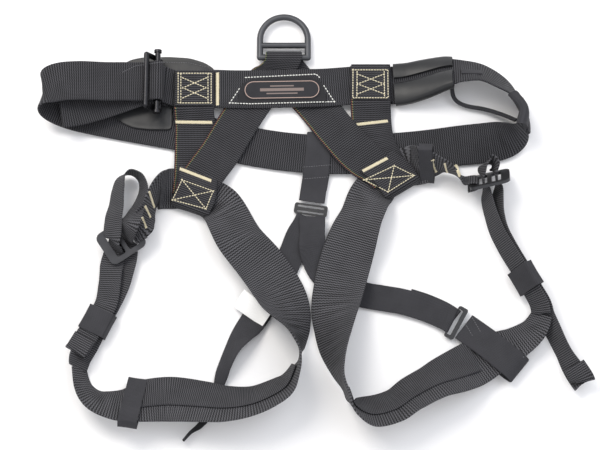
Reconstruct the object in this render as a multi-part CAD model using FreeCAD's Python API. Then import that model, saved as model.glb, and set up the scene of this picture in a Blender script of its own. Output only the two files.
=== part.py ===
import FreeCAD, Part
import math
import os

from FreeCAD import Vector

# Rescue sit harness lying open on a table, front side up, in millimetres.
# +X runs across the front, +Y is up the body, +Z is up from the table.

# --- driving dimensions -------------------------------------------------------------------------
WEB = 44.0              # waist, tie-in and riser webbing, width
LEG_PAD_WEB = 36.0      # inner layer of the leg loop, width
STRAP = 25.0            # adjuster strap, width
ELASTIC = 28.0          # rear elastic, width
WEB_T = 2.4             # thickness of the heavy webbing
STRAP_T = 2.0           # thickness of the adjuster strap
ELASTIC_T = 1.6         # thickness of the elastic
GAP = 0.3               # room between two layers that lie on each other
LAYER = WEB_T + GAP     # height of one layer in a stack
FIRST = 0.2 + WEB_T / 2         # mid-height of a layer that lies on the table
SECOND = FIRST + LAYER
THIRD = SECOND + LAYER
FOURTH = THIRD + LAYER
FIFTH = FOURTH + LAYER
BAR_D = 6.0             # round bars of the waist buckle
RING_D = 7.0            # round steel of the D-ring
STEPS = 4               # flat facets between two stations of a strap
TO_CENTRE = (4.0, -4.0, 2.4)    # from the drawing's origin to the middle of the harness on the table


# --- webbing ------------------------------------------------------------------------------------
def between(a, b, c, d, t):
    """Catmull-Rom value between b and c."""
    return 0.5 * (2 * b + (c - a) * t + (2 * a - 5 * b + 4 * c - d) * t ** 2
                  + (3 * b - a - 3 * c + d) * t ** 3)


def smooth(stations, steps=STEPS):
    """Stations with a smooth curve of so many steps between each two."""
    path = []
    last = len(stations) - 1
    for i in range(last):
        around = [stations[max(i - 1, 0)], stations[i], stations[i + 1], stations[min(i + 2, last)]]
        for k in range(steps):
            path.append([between(*values, k / steps) for values in zip(*around)])
    path.append(list(stations[-1]))
    return path


def direction(turn, tilt):
    """Unit vector that points `turn` degrees round the table and `tilt` degrees up from it."""
    turn = math.radians(turn)
    tilt = math.radians(tilt)
    return Vector(math.cos(tilt) * math.cos(turn), math.cos(tilt) * math.sin(turn), math.sin(tilt))


def along_stations(stations, outline, steps=STEPS, square=True):
    """Solid whose section outline(width) follows stations (x, y, z, turn, tilt, width).

    x, y, z is the middle of the webbing; turn and tilt say which way its width points.
    square keeps the width at a right angle to the run; without it the ends may be cut askew.
    """
    path = smooth(stations, steps)
    places = [Vector(*s[:3]) for s in path]
    sections = []
    for i, s in enumerate(path):
        along = (places[min(i + 1, len(path) - 1)] - places[max(i - 1, 0)]).normalize()
        across = direction(s[3], s[4])
        if square:
            across = (across - along * across.dot(along)).normalize()
        face = along.cross(across).normalize()
        sections.append([places[i] + across * u + face * v for u, v in outline(s[5])])
    rings = [sections[0][::-1], sections[-1]]
    for first, second in zip(sections, sections[1:]):
        for j, corner in enumerate(first):
            k = (j + 1) % len(first)
            rings.append([corner, first[k], second[k]])
            rings.append([corner, second[k], second[j]])
    shell = Part.makeShell([Part.Face(Part.makePolygon(ring + ring[:1])) for ring in rings])
    shell.sewShape()
    solid = Part.makeSolid(shell)
    return solid if solid.Volume > 0 else solid.reversed()


def ribbon(stations, thick, width=None, lift=0.0, shift=0.0, steps=STEPS, square=True):
    """Flat webbing; lift moves it off the stations along its face, shift along its width."""
    def outline(own_width):
        half = (width or own_width) / 2
        low = lift - thick / 2
        high = lift + thick / 2
        return [(shift - half, low), (shift + half, low), (shift + half, high), (shift - half, high)]
    return along_stations(stations, outline, steps, square)


def with_width(width, places):
    """The same width at each place of a strap."""
    return [place + (width,) for place in places]


# --- metal, plates and stitches -----------------------------------------------------------------
def rod(start, end, diameter):
    """Round bar between two points, with round ends."""
    start = Vector(*start)
    end = Vector(*end)
    bar = Part.makeCylinder(diameter / 2, (end - start).Length, start, end - start)
    return bar.fuse([Part.makeSphere(diameter / 2, start), Part.makeSphere(diameter / 2, end)])


def place_at(origin, x_turn, x_tilt, y_tilt):
    """Placement with X along (x_turn, x_tilt) and Y a quarter turn on, y_tilt degrees up."""
    x = direction(x_turn, x_tilt)
    y = direction(x_turn + 90, y_tilt)
    y = (y - x * y.dot(x)).normalize()
    z = x.cross(y)
    matrix = FreeCAD.Matrix(x.x, y.x, z.x, origin[0],
                            x.y, y.y, z.y, origin[1],
                            x.z, y.z, z.z, origin[2],
                            0, 0, 0, 1)
    return FreeCAD.Placement(matrix)


def slab(length, width, thick, radius):
    """Plate with round corners, centred on the origin."""
    box = Part.makeBox(length, width, thick, Vector(-length / 2, -width / 2, -thick / 2))
    upright = [e for e in box.Edges if abs(e.Vertexes[0].Z - e.Vertexes[-1].Z) > thick / 2]
    return box.makeFillet(radius, upright)


def moved(shape, x=0.0, y=0.0, z=0.0):
    copy = shape.copy()
    copy.translate(Vector(x, y, z))
    return copy


def placed(shape, placement):
    """A copy of shape, carried from the origin to a placement."""
    copy = shape.copy()
    copy.transformShape(placement.toMatrix())
    return copy


def save(name, *shapes):
    """Write the solids of one node, carried so that the whole harness is centred on the table."""
    solids = [moved(solid, *TO_CENTRE) for shape in shapes for solid in shape.Solids]
    node = solids[0] if len(solids) == 1 else Part.makeCompound(solids)
    node.exportStep(f"parts/{name}.step")
    print(f"{name:26s}{len(solids):3d} solids {sum(s.Volume for s in solids):9.0f} mm3"
          f"  {'ok' if node.isValid() else 'NOT VALID'}")


os.makedirs("parts", exist_ok=True)

# --- waist belt ---------------------------------------------------------------------------------
# One length of webbing: sewn in under the right riser, through the right pad, round the back on
# the table, over the left bend, through the buckle and round its slider, back inside as the tail.
BELT = with_width(WEB, [
    (62, 157, 3.4, -90, 0), (84, 157.5, 3.6, -91, 0), (102, 159, 6.5, -91, 4),
    (120, 162, 12, -92, 10), (140, 166, 18, -94, 22), (160, 168, 22, -96, 38),
    (182, 166, 22, -102, 47), (203, 154, 22, -122, 54), (218, 138, 22.5, -150, 68),
    (226, 119, 23, -185, 78), (225, 102, 22, -225, 70), (212, 93, 17, -257, 48),
    (190, 90, 10, -267, 24), (158, 88, 5, -270, 9), (127, 85, 2.2, -269, 2),
    (94, 82, FIRST, -268, 0), (48, 79, FIRST, -269, 0), (26, 78, 3.3, -269, 0), (-4, 79, 3.3, -270, 0),
    (-40, 83, 1.8, -275, 0), (-79, 90, FIRST, -276, 0), (-118, 100, FIRST, -278, 0),
    (-157, 107, FIRST, -279, 0), (-195, 114, FIRST, -279, 0), (-232, 121, 1.9, -277, 0),
    (-265, 127, 8, -275, 0), (-286, 134, 16, -274, 0), (-294, 140, 26, -273, 0),
    (-290, 146, 34, -272, 0), (-276, 150, 38, -270, 0), (-254, 152, 37, -270, 0),
    (-228, 153, 31, -269, 0), (-208, 154, 28, -269, 0), (-192, 154, 27.4, -269, 0),
    (-185, 154, 28, -269, 0), (-178, 154, 30.6, -269, 0), (-171.3, 154, 32.8, -269, 0),
    (-167.3, 154, 31.1, -269, 0), (-165.6, 154, 27.1, -269, 0), (-167.3, 154, 23.1, -269, 0),
    (-171.5, 153, 21.5, -269, 0), (-178, 152, 21.2, -269, 0), (-192, 150, 19, -269, 0),
    (-212, 144, 16, -270, 0), (-238, 135, 17, -271, 0), (-262, 127, 22, -271, 0),
    (-276, 124, 26, -272, 0),
])
save("waist_belt", ribbon(BELT, WEB_T))

# --- waist buckle: frame, sliding bar and the webbing that anchors it ---------------------------
BUCKLE_Y = 154.0
FRAME_HALF = 29.0           # from the middle of the frame to its side bars
LOAD_BAR = (-183.0, 33.5)   # x and z of the frame's two long bars
ANCHOR_BAR = (-170.0, 14.0)
SLIDER = (-171.3, 27.1)
save("waist_buckle_frame",
     rod((LOAD_BAR[0], BUCKLE_Y - FRAME_HALF, LOAD_BAR[1]),
         (LOAD_BAR[0], BUCKLE_Y + FRAME_HALF, LOAD_BAR[1]), BAR_D).fuse([
             rod((ANCHOR_BAR[0], BUCKLE_Y - FRAME_HALF, ANCHOR_BAR[1]),
                 (ANCHOR_BAR[0], BUCKLE_Y + FRAME_HALF, ANCHOR_BAR[1]), BAR_D),
             rod((LOAD_BAR[0], BUCKLE_Y - FRAME_HALF, LOAD_BAR[1]),
                 (ANCHOR_BAR[0], BUCKLE_Y - FRAME_HALF, ANCHOR_BAR[1]), BAR_D),
             rod((LOAD_BAR[0], BUCKLE_Y + FRAME_HALF, LOAD_BAR[1]),
                 (ANCHOR_BAR[0], BUCKLE_Y + FRAME_HALF, ANCHOR_BAR[1]), BAR_D)]))
SLIDER_HALF = 33.0
knob = Part.makeCylinder(4.2, 3.0, Vector(SLIDER[0], BUCKLE_Y + SLIDER_HALF, SLIDER[1]), Vector(0, 1, 0))
save("waist_buckle_slider",
     Part.makeCylinder(3.0, 2 * SLIDER_HALF, Vector(SLIDER[0], BUCKLE_Y - SLIDER_HALF, SLIDER[1]),
                       Vector(0, 1, 0)).fuse([knob, moved(knob, y=-2 * SLIDER_HALF - 3)]))

PAD_TOP = 6.0               # upper face of the left pad
ANCHOR_LAYER = PAD_TOP + GAP + WEB_T / 2
save("waist_anchor_strap", ribbon(with_width(WEB - 2, [
    (-157, 152, 7.6, -90, 0), (-162, 153, 8, -90, 0), (-170, 154, 9.5, -90, 0),
    (-173.2, 154, 10.9, -90, 0), (-174.5, 154, 14, -90, 0), (-173.2, 154, 17.2, -90, 0),
    (-170, 154, 18.5, -90, 0), (-164, 154, 16.8, -90, 0), (-158, 153, 12.5, -90, 0),
    (-150, 152, ANCHOR_LAYER, -90, 0), (-136, 151, ANCHOR_LAYER, -90, 0),
    (-114, 151, ANCHOR_LAYER, -90, 0),
]), WEB_T))

# --- front strap, over the tie-in strap ---------------------------------------------------------
FRONT_L = ANCHOR_LAYER + LAYER
save("front_strap", ribbon(with_width(WEB, [
    (-152, 151, FRONT_L, -90, 0), (-130, 151, FRONT_L, -90, 0), (-110, 151.5, FRONT_L, -90, 0),
    (-90, 152, 7.2, -90, 0), (-60, 152, 7.2, -90, 0), (-20, 153, 7.2, -90, 0), (10, 154, 6.9, -91, 0),
    (36, 156, 6.8, -91, 0), (60, 158, 6.8, -91, 0), (84, 159, 7.0, -91, 0),
]), WEB_T))

# --- pads ---------------------------------------------------------------------------------------
LEFT_PAD = [(-226, 138), (-222, 160), (-214, 180), (-204, 187), (-190, 190), (-160, 190.5),
            (-138, 189), (-122, 184), (-110, 176), (-110, 134), (-156.5, 132), (-156.5, 106),
            (-180, 106), (-198, 108), (-210, 113), (-220, 122)]
PAD_T = 2.8
left_pad = Part.Face(Part.makePolygon([Vector(x, y, PAD_TOP - PAD_T) for x, y in LEFT_PAD + LEFT_PAD[:1]]))
save("left_pad", left_pad.extrude(Vector(0, 0, PAD_T)))


def pad_section(width):
    """Padded sleeve folded round the belt, open in a groove along its upper face."""
    half = width / 2
    inner = WEB_T / 2 + 0.9
    skin = 1.6
    return [(-7, -inner), (-half - 0.6, -inner), (-half - 0.6, inner), (half + 0.6, inner),
            (half + 0.6, -inner), (-1, -inner), (-1, -inner - 2), (4, -inner - 4.4),
            (half - 1, -inner - 4.6), (half + 3, 0), (half, inner + skin), (-half, inner + skin),
            (-half - 2.6, -0.6), (2 - half, -inner - 3), (-7, -inner - 3)]


save("right_pad", along_stations(with_width(WEB, [
    (88, 158, 4.1, -91, 1), (102, 159, 6.5, -91, 4), (120, 162, 12, -92, 10),
    (140, 166, 18, -94, 22), (151, 167, 20.5, -95, 30),
]), pad_section))

# --- risers, from the front strap down to the leg loops -----------------------------------------
RISER_L = FRONT_L + LAYER
RISER_R = 6.8 + LAYER
save("left_riser", ribbon(with_width(WEB, [
    (-132, 170, RISER_L, 0, 0), (-132, 150, RISER_L, 0, 0), (-132, 134, RISER_L, 0, 0),
    (-132, 127.5, RISER_L - 0.4, 0, 0), (-131.5, 119, 8.4, 0, 0), (-131, 109, SECOND, 0, 0),
    (-131, 95, SECOND, 0, 0),
    (-131, 78, SECOND, 0, 0), (-131, 66, 5.2, -4, 0), (-131, 54, THIRD, -14, 0),
    (-132, 42, THIRD, -18, 0), (-133, 32, THIRD, -20, 0),
]), WEB_T))
save("left_riser_patch", moved(slab(WEB - 2, 40, WEB_T, 3), -132, 150.5, RISER_L + LAYER))
save("right_riser", ribbon(with_width(WEB, [
    (61, 178, RISER_R, 0, 0), (61, 158, RISER_R, 0, 0), (61, 142, RISER_R, 0, 0),
    (61, 134, RISER_R - 0.4, 0, 0), (61.5, 124, 5.4, 0, 0), (62, 112, 4.7, 0, 0),
    (64, 97, 4.7, 8, 0), (68, 83, 6.0, 20, 0),
    (74, 70, THIRD, 28, 0), (80, 60, THIRD, 31, 0), (84, 53, THIRD, 32, 0),
]), WEB_T))
save("right_riser_patch", moved(slab(WEB - 2, 39, WEB_T, 3), 61, 159, RISER_R + LAYER))

# --- tie-in: one webbing from the left leg loop, round the D-ring's lower bar, to the right -----
RING_X = -34.0
RING_BAR = (189.0, 6.6)     # y and z of the D-ring's lower bar
RING_WEB = WEB - 4          # the webbing is drawn in a little where it goes through the ring
ROUND_RING = RING_D / 2 + WEB_T / 2 + 0.9
bar_y, bar_z = RING_BAR
bend = [(RING_X, bar_y + ROUND_RING * math.cos(math.radians(a)),
         bar_z + ROUND_RING * math.sin(math.radians(a)), 0, 0, RING_WEB)
        for a in (90, 60, 30, 0, -30, -60, -90)]
save("tie_in_strap", ribbon(with_width(WEB, [
    (-131, 30, FOURTH, -21, 0), (-126, 45, FOURTH, -24, 0), (-117, 59, 8.8, -28, 0),
    (-103, 80, THIRD, -31, 0), (-90, 103, THIRD, -31, 0), (-77, 126, SECOND, -30, 0),
    (-62, 149, SECOND, -28, 0), (-54, 162, SECOND, -24, 0), (-46, 172.5, 3.8, -14, 0)])
    + [(-40, 178, 6.8, -6, 0, 42), (-35, 184, 11, -1, 0, RING_WEB)] + bend + [(-30, 181, 1.6, 8, 0, RING_WEB)] + with_width(WEB, [
    (-25, 170, FIRST, 15, 0), (-12, 151, FIRST, 28, 0), (4, 132, 1.8, 35, 0),
    (17, 113, 6.8, 36, -3), (31, 95, 8.6, 37, -3), (45, 79, 8.4, 36, 0), (60, 65, 8.8, 33, 0),
    (72, 58, FOURTH, 32, 0), (82, 50, FOURTH, 32, 0),
]), WEB_T, square=False))

# --- D-ring: half-round top, straight sides, a middle bar and the lower bar in the webbing -------
RING_R = 26.4               # from the middle of the ring to the middle of its steel
RING_SIDE = 21.0            # straight part of each side
ring_wire = Part.Wire([
    Part.LineSegment(Vector(-RING_R, -RING_SIDE, 0), Vector(-RING_R, 0, 0)).toShape(),
    Part.Arc(Vector(-RING_R, 0, 0), Vector(0, RING_R, 0), Vector(RING_R, 0, 0)).toShape(),
    Part.LineSegment(Vector(RING_R, 0, 0), Vector(RING_R, -RING_SIDE, 0)).toShape()])
ring_end = Part.Wire(Part.makeCircle(RING_D / 2, Vector(-RING_R, -RING_SIDE, 0), Vector(0, 1, 0)))
ring = ring_wire.makePipeShell([ring_end], True, False)
ring = ring.fuse([
    rod((-RING_R, -RING_SIDE, 0), (RING_R, -RING_SIDE, 0), RING_D),
    Part.makeCylinder(RING_D / 2 - 0.2, 2 * RING_R, Vector(-RING_R, -7, 0), Vector(1, 0, 0))])
save("d_ring", moved(ring, RING_X, bar_y + RING_SIDE, bar_z))

# --- label --------------------------------------------------------------------------------------
LABEL_T = 1.2
LABEL_Z = 7.2 + WEB_T / 2 + 0.1
panel = Part.Face(Part.makePolygon([Vector(x, y, LABEL_Z) for x, y in (
    (-86, 134), (14, 136), (8, 160), (-6, 166), (-70, 163.5), (-80, 158), (-86, 134))]))
save("label_panel", panel.extrude(Vector(0, 0, LABEL_T)))
save("label_badge", placed(slab(84, 22, 0.8, 10.9), place_at((-36, 150.5, LABEL_Z + LABEL_T + 0.4), 1, 0, 0)))

# --- leg buckles: stamped plate with two slots --------------------------------------------------
LEG_PLATE = (44.0, 38.0, 3.2)   # along the pull, across it, thickness
SLOT_Y = 27.0                   # length of both slots
OUTER_SLOT = (-12.5, -2.0)      # the tail of the adjuster strap goes down through this one
INNER_SLOT = (2.5, 15.5)        # the strap comes up here, next to the leg loop's own end
LEFT_BUCKLE = place_at((-207, -21, 16), 33, 6, 8)
RIGHT_BUCKLE = place_at((188, 46, 18), 190, -14, 58)
leg_plate = slab(*LEG_PLATE, 7)
for near, far in (OUTER_SLOT, INNER_SLOT):
    slot = slab(far - near, SLOT_Y, 2 * LEG_PLATE[2], 2.5)
    leg_plate = leg_plate.cut(moved(slot, x=(near + far) / 2))
save("left_leg_buckle", placed(leg_plate, LEFT_BUCKLE))
save("right_leg_buckle", placed(leg_plate, RIGHT_BUCKLE))


def in_buckle(buckle, x, y, z):
    """Drawing position of a point given from the middle of a leg buckle."""
    point = buckle.multVec(Vector(x, y, z))
    return (point.x, point.y, point.z)


def round_anchor_bar(buckle, turn, tilt):
    """The leg loop's end, narrowed to the strap's width and turned round the buckle's inner bar."""
    turn_back = [(25, -4.3), (19, -4.2), (14.4, -3.3), (13.1, 0), (14.4, 3.3), (19, 4.4), (27, 5.4)]
    return [(*in_buckle(buckle, x, 0, z), turn, tilt, STRAP) for x, z in turn_back]


# --- leg loops ----------------------------------------------------------------------------------
# Each starts at its buckle, stands on edge past the bar tacks, lies flat through the leg wrap,
# leans over the thigh at the front, stands up at the corner and lies back along the bottom.
LEFT_LEG = round_anchor_bar(LEFT_BUCKLE, -57, -8) + [
    (-181, 3, 23, -56, -42, 30), (-178, 12, 23, -58, -70, 38), (-174, 23, 23.6, -70, -76, 44),
    (-168, 32, 20, -84, -58, 44), (-161, 37.5, 9.5, -100, -22, 44), (-151, 39.5, SECOND, -110, 0, 44),
    (-145, 39, SECOND, -110, 0, 44), (-128, 34, SECOND, -110, 0, 44), (-111, 27, SECOND, -110, 0, 44),
    (-98, 14, 9, -114, 15, 48), (-81, -18, 13.5, -118, 21, 55), (-58, -46, 11.5, -126, 15, 55),
    (-38, -76, 13, -130, 20, 55), (-24, -109, 24, -134, 50, 55), (-18, -132, 29.5, -128, 76, 56),
    (-16, -145, 30, -90, 84, 57), (-19, -158, 29.4, -76, 74, 57), (-29, -176, 27, -72, 62, 57),
    (-46, -187, 26, -79, 56, 57), (-68, -195, 25, -84, 52, 57), (-94, -197, 22.6, -86, 44, 57),
    (-120, -194, 20, -88, 36, 57), (-153, -191, 17, -90, 29, 57), (-182, -194, 17.5, -91, 31, 52),
    (-205, -197, 16.5, -93, 37, 44), (-228, -192, 16, -108, 46, 36), (-242, -178, 13.5, -132, 55, 29),
    (-248, -157, 11, -160, 62, 25),
]
RIGHT_LEG = round_anchor_bar(RIGHT_BUCKLE, -101, -125) + [
    (153, 51, 18, -96, -104, 33), (142, 57, 22, -91, -90, 41), (131, 60, 22.5, -86, -76, 44),
    (120, 62.5, 20.2, -79, -54, 44), (112, 64, 12.8, -72, -20, 44), (106, 65, 6.4, -66, 7, 44),
    (101, 64.5, 4.2, -60, 0, 44), (84, 55.8, 4.2, -58, 0, 44), (70, 46, 4.2, -52, 0, 44),
    (66, 40, 4.8, -47, 3, 45), (58, 27, 11, -33, 19, 49), (51, 10, 14.5, -20, 27, 52), (43, -9, 15.5, -15, 24, 56),
    (35, -34, 12.5, -13, 12, 56), (28, -60, 11.5, -9, 12, 56), (22, -87, 15, -9, 22, 56),
    (20, -112, 22, -12, 42, 56), (20, -138, 27, -8, 60, 57), (24, -162, 29.5, -10, 78, 57),
    (31, -182, 30.5, -45, 88, 57), (39, -199, 29, -82, 72, 57), (58, -205, 24, -88, 52, 57),
    (82, -199, 23, -80, 48, 57), (101, -186, 23, -73, 46, 57), (125, -173, 22.5, -76, 44, 57),
    (148, -163, 16, -75, 30, 52), (170, -153, 8.5, -72, 14, 46), (190, -140, 7.4, -68, 12, 44),
    (212, -130, 8.5, -60, 20, 38), (230, -117, 9.5, -45, 28, 32), (240, -100, 10, -18, 40, 27),
]
save("left_leg_loop", ribbon(LEFT_LEG, WEB_T))
save("right_leg_loop", ribbon(RIGHT_LEG, WEB_T))

# The inner layer is sewn on the face that meets the thigh, along the inner edge of the webbing.
PAD_LIFT = WEB_T + 0.4
PAD_SHIFT = -9.0
save("left_leg_pad", ribbon(LEFT_LEG[23:31], WEB_T - 0.4, LEG_PAD_WEB, PAD_LIFT, PAD_SHIFT))
save("right_leg_pad", ribbon(RIGHT_LEG[26:34], WEB_T - 0.4, LEG_PAD_WEB, -PAD_LIFT, PAD_SHIFT))

# --- leg wraps: webbing folded round the leg loop and sewn over the ends of the straps -----------
def leg_wrap(edge, turn, top):
    """Fold along `turn` through the point `edge`, with its upper end at `top`."""
    inward = direction(turn + 90, 0)
    round_fold = [(6.6, FIFTH), (2.8, 10.6), (1.2, THIRD), (2.8, 3.0), (6.6, FIRST), (14, FIRST)]
    middle = (edge[0] + inward.x * 22, edge[1] + inward.y * 22)
    stations = [(*top, FIFTH, turn, 0, WEB), (*middle, FIFTH, turn, 0, WEB)]
    stations += [(edge[0] + inward.x * d, edge[1] + inward.y * d, z, turn, 0, WEB) for d, z in round_fold]
    return ribbon(stations, WEB_T, steps=3, square=False)


save("left_leg_wrap", leg_wrap((-135.5, 13), -20.4, (-126, 55)))
save("right_leg_wrap", leg_wrap((96, 35.5), 31.7, (67, 68)))

# --- adjuster straps: from the end of each leg loop, through the keeper and the buckle, back ----
SLOT_WEB = 21.0             # the strap is drawn together where it goes askew through a slot
LEFT_STRAP = with_width(STRAP, [
    (-249, -158, 13.5, 17, -50), (-247, -145, 10, 5, -30), (-240, -130, 6.4, -15, -6),
    (-230, -108, 4.4, -27, 8), (-219, -88, 4, -22, 10), (-210, -68, 4, -12, 12),
    (-205, -50, 4.2, -8, 14), (-202.5, -38, 4.8, -12, 12)]) + [
    (*in_buckle(LEFT_BUCKLE, 3.5, -6, -7), -30, 4, 23), (*in_buckle(LEFT_BUCKLE, 6.8, -0.5, -1), -46, 4, SLOT_WEB),
    (*in_buckle(LEFT_BUCKLE, 8, 1.2, 5), -44, 10, SLOT_WEB)] + with_width(STRAP, [
    (-196.5, -7.5, 34, -28, 28), (-192, 6, 29, -18, 44), (-187, 21, 23, -14, 56), (-185, 36, 18, -10, 64),
    (-189, 49, 15.5, 0, 74), (-199, 54.5, 16, -8, 80), (-209, 48, 16, -20, 62), (-212, 35, 17, -20, 52),
    (-213, 18, 20, -22, 46), (-215, 1, 24, -28, 36)]) + [
    (*in_buckle(LEFT_BUCKLE, -5.5, 7, 7), -40, 20, 24), (*in_buckle(LEFT_BUCKLE, -7.3, 0.8, 0.5), -50, -4, 20),
    (*in_buckle(LEFT_BUCKLE, -13, -6, -6.0), -44, -6, 23)] + with_width(STRAP, [
    (-217, -44, 7.2, -28, 4), (-218, -54, 9.2, -14, 12),
    (-219, -68, 9.0, -10, 12), (-222, -88, 8.8, -20, 11), (-231.5, -107, 9, -28, 9),
    (-241, -123, 11, -31, 10), (-249, -137, 14, -32, 12), (-251.5, -141, 16.4, -32, 12),
    (-249, -137, 18.6, -32, 12), (-242, -125, 18, -32, 12),
])
RIGHT_STRAP = with_width(STRAP, [
    (238.5, -99.5, 12.4, -18, 42), (236.5, -89, 14.4, 4, 46), (228.5, -74.5, 17.4, 18, 52),
    (215.5, -51, 17.8, 14, 54), (204, -31, 17.5, 6, 54), (194, -11, 17.5, -5, 58), (188, 9, 16, -14, 64),
    (184.8, 25, 14, -40, 62)]) + [
    (*in_buckle(RIGHT_BUCKLE, 7, 0, -8), -76, 58, 23), (*in_buckle(RIGHT_BUCKLE, 7, 0, 0), -92, 56, SLOT_WEB),
    (*in_buckle(RIGHT_BUCKLE, 7, 0, 8), -70, 62, 23)] + with_width(STRAP, [
    (181, 60, 23, -30, 74), (188.5, 65.5, 22, 0, 82), (192.5, 61, 24, -20, 70)]) + [
    (*in_buckle(RIGHT_BUCKLE, -7.3, 0, 8), -70, 62, 23), (*in_buckle(RIGHT_BUCKLE, -7.3, 0, 0), -92, 56, SLOT_WEB),
    (*in_buckle(RIGHT_BUCKLE, -7.3, 0, -8), -76, 58, 23)] + with_width(STRAP, [
    (196, 26, 15.5, -40, 62), (195.5, 10, 14.5, -14, 62), (198.5, -9, 15, -5, 58),
    (207.5, -30, 15, 6, 54), (218.5, -50, 15, 14, 54), (231.5, -74, 14.8, 20, 52),
    (239.5, -88, 11.6, 6, 46), (243.5, -101, 9, -15, 42), (250, -116, 11, -8, 52), (260, -140, 13.5, 8, 58),
    (269, -157, 13, 26, 42), (277, -169, 12.5, 30, 30), (279.5, -172.5, 15, 30, 28),
    (277.5, -168, 18, 30, 28), (270, -156, 19, 28, 32),
])
save("left_adjuster_strap", ribbon(LEFT_STRAP, STRAP_T))
save("right_adjuster_strap", ribbon(RIGHT_STRAP, STRAP_T))


def keeper(room):
    """Elastic sleeve open at both ends; its length is along Y, it holds width x room inside."""
    inside = STRAP + 3.0
    outer = slab(inside + 2.4, 27, room + 2.4, 0.5)
    return outer.cut(Part.makeBox(inside, 40, room, Vector(-inside / 2, -20, -room / 2)))


save("left_keeper", placed(keeper(10.8), place_at((-230.6, -107.5, 7.0), -26.8, 9, 0)))
save("right_keeper", placed(keeper(9.6), place_at((223, -62.3, 16.4), 28.7, 53.5, 0)))

# --- rear: riser looped round the back belt, its slide, and the two elastics ---------------------
save("rear_riser", ribbon(with_width(ELASTIC, [
    (-1, 40, 1.1, -5, 0), (2, 58, 1.1, -5, 0), (5, 78, 1.1, -4, 0), (5.5, 97, 1.1, -2, 0),
    (5.5, 102, 1.6, 0, 0), (5.5, 103.4, 3.3, 0, 0), (5.5, 102, 5.0, 0, 0), (5, 97, 5.6, 0, 0),
    (3.5, 78, 5.6, -4, 0), (1.5, 60, 5.6, -5, 0), (0.5, 52, 5, -6, 0), (-1, 42, 3.2, -7, 0),
    (-3.5, 25, 3.0, -7, 0),
]), ELASTIC_T))
rear_slide = slab(36, 12, 2.4, 2.5).cut([moved(slab(29, 2.6, 6, 1), y=2.9), moved(slab(29, 2.6, 6, 1), y=-2.9)])
save("rear_slide", placed(rear_slide, place_at((-4.5, 16.5, 1.5), -8, 0, 0)))
save("left_elastic", ribbon([
    (-6.5, 7.5, 2.2, -8, 0, 28), (-11, -2, 3.8, -20, 4, 28), (-18, -14, 3.2, -28, 2, 28),
    (-25, -32, 1.1, -30, 0, 28), (-36, -56, 1.1, -36, 0, 28), (-50, -80, 1.1, -42, 0, 28),
    (-66, -106, 2.2, -42, 6, 28), (-78, -122, 6.5, -34, 26, 26), (-88, -138, 9, -22, 42, 23),
    (-96, -156, 6, -8, 36, 18), (-101, -172, 1.6, -5, 4, 12), (-105, -188, 1.1, -10, 0, 9),
    (-111, -204, 1.1, -20, 0, 8), (-121, -217, 3, -30, 30, 8), (-130, -224, 5, -35, 60, 8),
    (-138, -233, 5, -35, 70, 8),
], ELASTIC_T))
save("right_elastic", ribbon(with_width(ELASTIC, [
    (-3, 8, 5.0, -4, 2), (-3, -3, 8.4, -6, 10), (-3, -13, 8.4, -4, 12), (-3, -28, 5.2, 0, -4),
    (2, -44, 1.6, 12, 0), (11, -57, 1.1, 32, 0), (28, -69, 1.1, 60, 0), (51, -77, 1.1, 73, 0), (72, -81, 2.0, 76, 0),
    (93, -85, 3.2, 76, 0), (116, -92, 3.2, 71, 0), (136, -100.5, 3.6, 64, 0), (144, -105, 4.6, 61, 0),
    (146, -106, 3.2, 61, 0), (144, -104, 1.5, 61, 0), (134, -97.5, 1.1, 64, 0), (116, -89.5, 1.1, 71, 0),
    (99, -84, 1.1, 75, 0),
]), ELASTIC_T))
elastic_slide = slab(11, 37, 2.6, 2.5).cut(moved(slab(4.5, 30, 6, 1), x=-1.5))
save("right_elastic_slide", placed(elastic_slide, place_at((149.5, -108, 3.2), -29, 0, 0)))
save("right_band_tab", ribbon(with_width(31, [
    (157.5, -112, 3.6, 60, 0), (166, -119, 7.4, 54, 0), (182, -132, 12, 51, 0), (198, -146, 15, 50, 0),
    (208, -154.5, 15, 50, 0), (213.5, -159, 11, 50, 0), (214.5, -160, 7, 50, 0), (212, -158, 3, 50, 0),
    (206, -153, 1.1, 50, 0), (192, -141, 1.1, 50, 0), (176, -127, 1.1, 51, 0),
]), ELASTIC_T))


def band_sleeve(long_side, short_side, length, wall=1.6):
    """Closed tube of cloth round a flat band, its length along Y."""
    outer = slab(long_side, length, short_side, 0.5)
    inner = Part.makeBox(long_side - 2 * wall, 2 * length, short_side - 2 * wall,
                         Vector(wall - long_side / 2, -length, wall - short_side / 2))
    return outer.cut(inner)


save("left_band_wrap", placed(band_sleeve(60, 12, 20), place_at((-190, -195, 19.2), -98, 33, 0)))
save("right_loop_band", placed(band_sleeve(50, 11, 15), place_at((120, 62.5, 23.0), -79, -54, 31)))

# --- maker's tag, left blank, and the flat elastic cord between pad and bend ---------------------
save("blank_tag", placed(slab(38, 22, 0.6, 1), place_at((-66, -93, 8), -36, 0, 22)))
CORD_D = 5.0                # the flat cord is drawn as a round one of its own width
CORD_BENDS = [(152, 160.5, 18.3), (148.5, 149, 12), (157, 134.5, 4), (196, 129, 4), (219, 114, 14)]
BEND_SHARE = 0.45           # of the shorter run beside a bend, taken up by the bend


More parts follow.
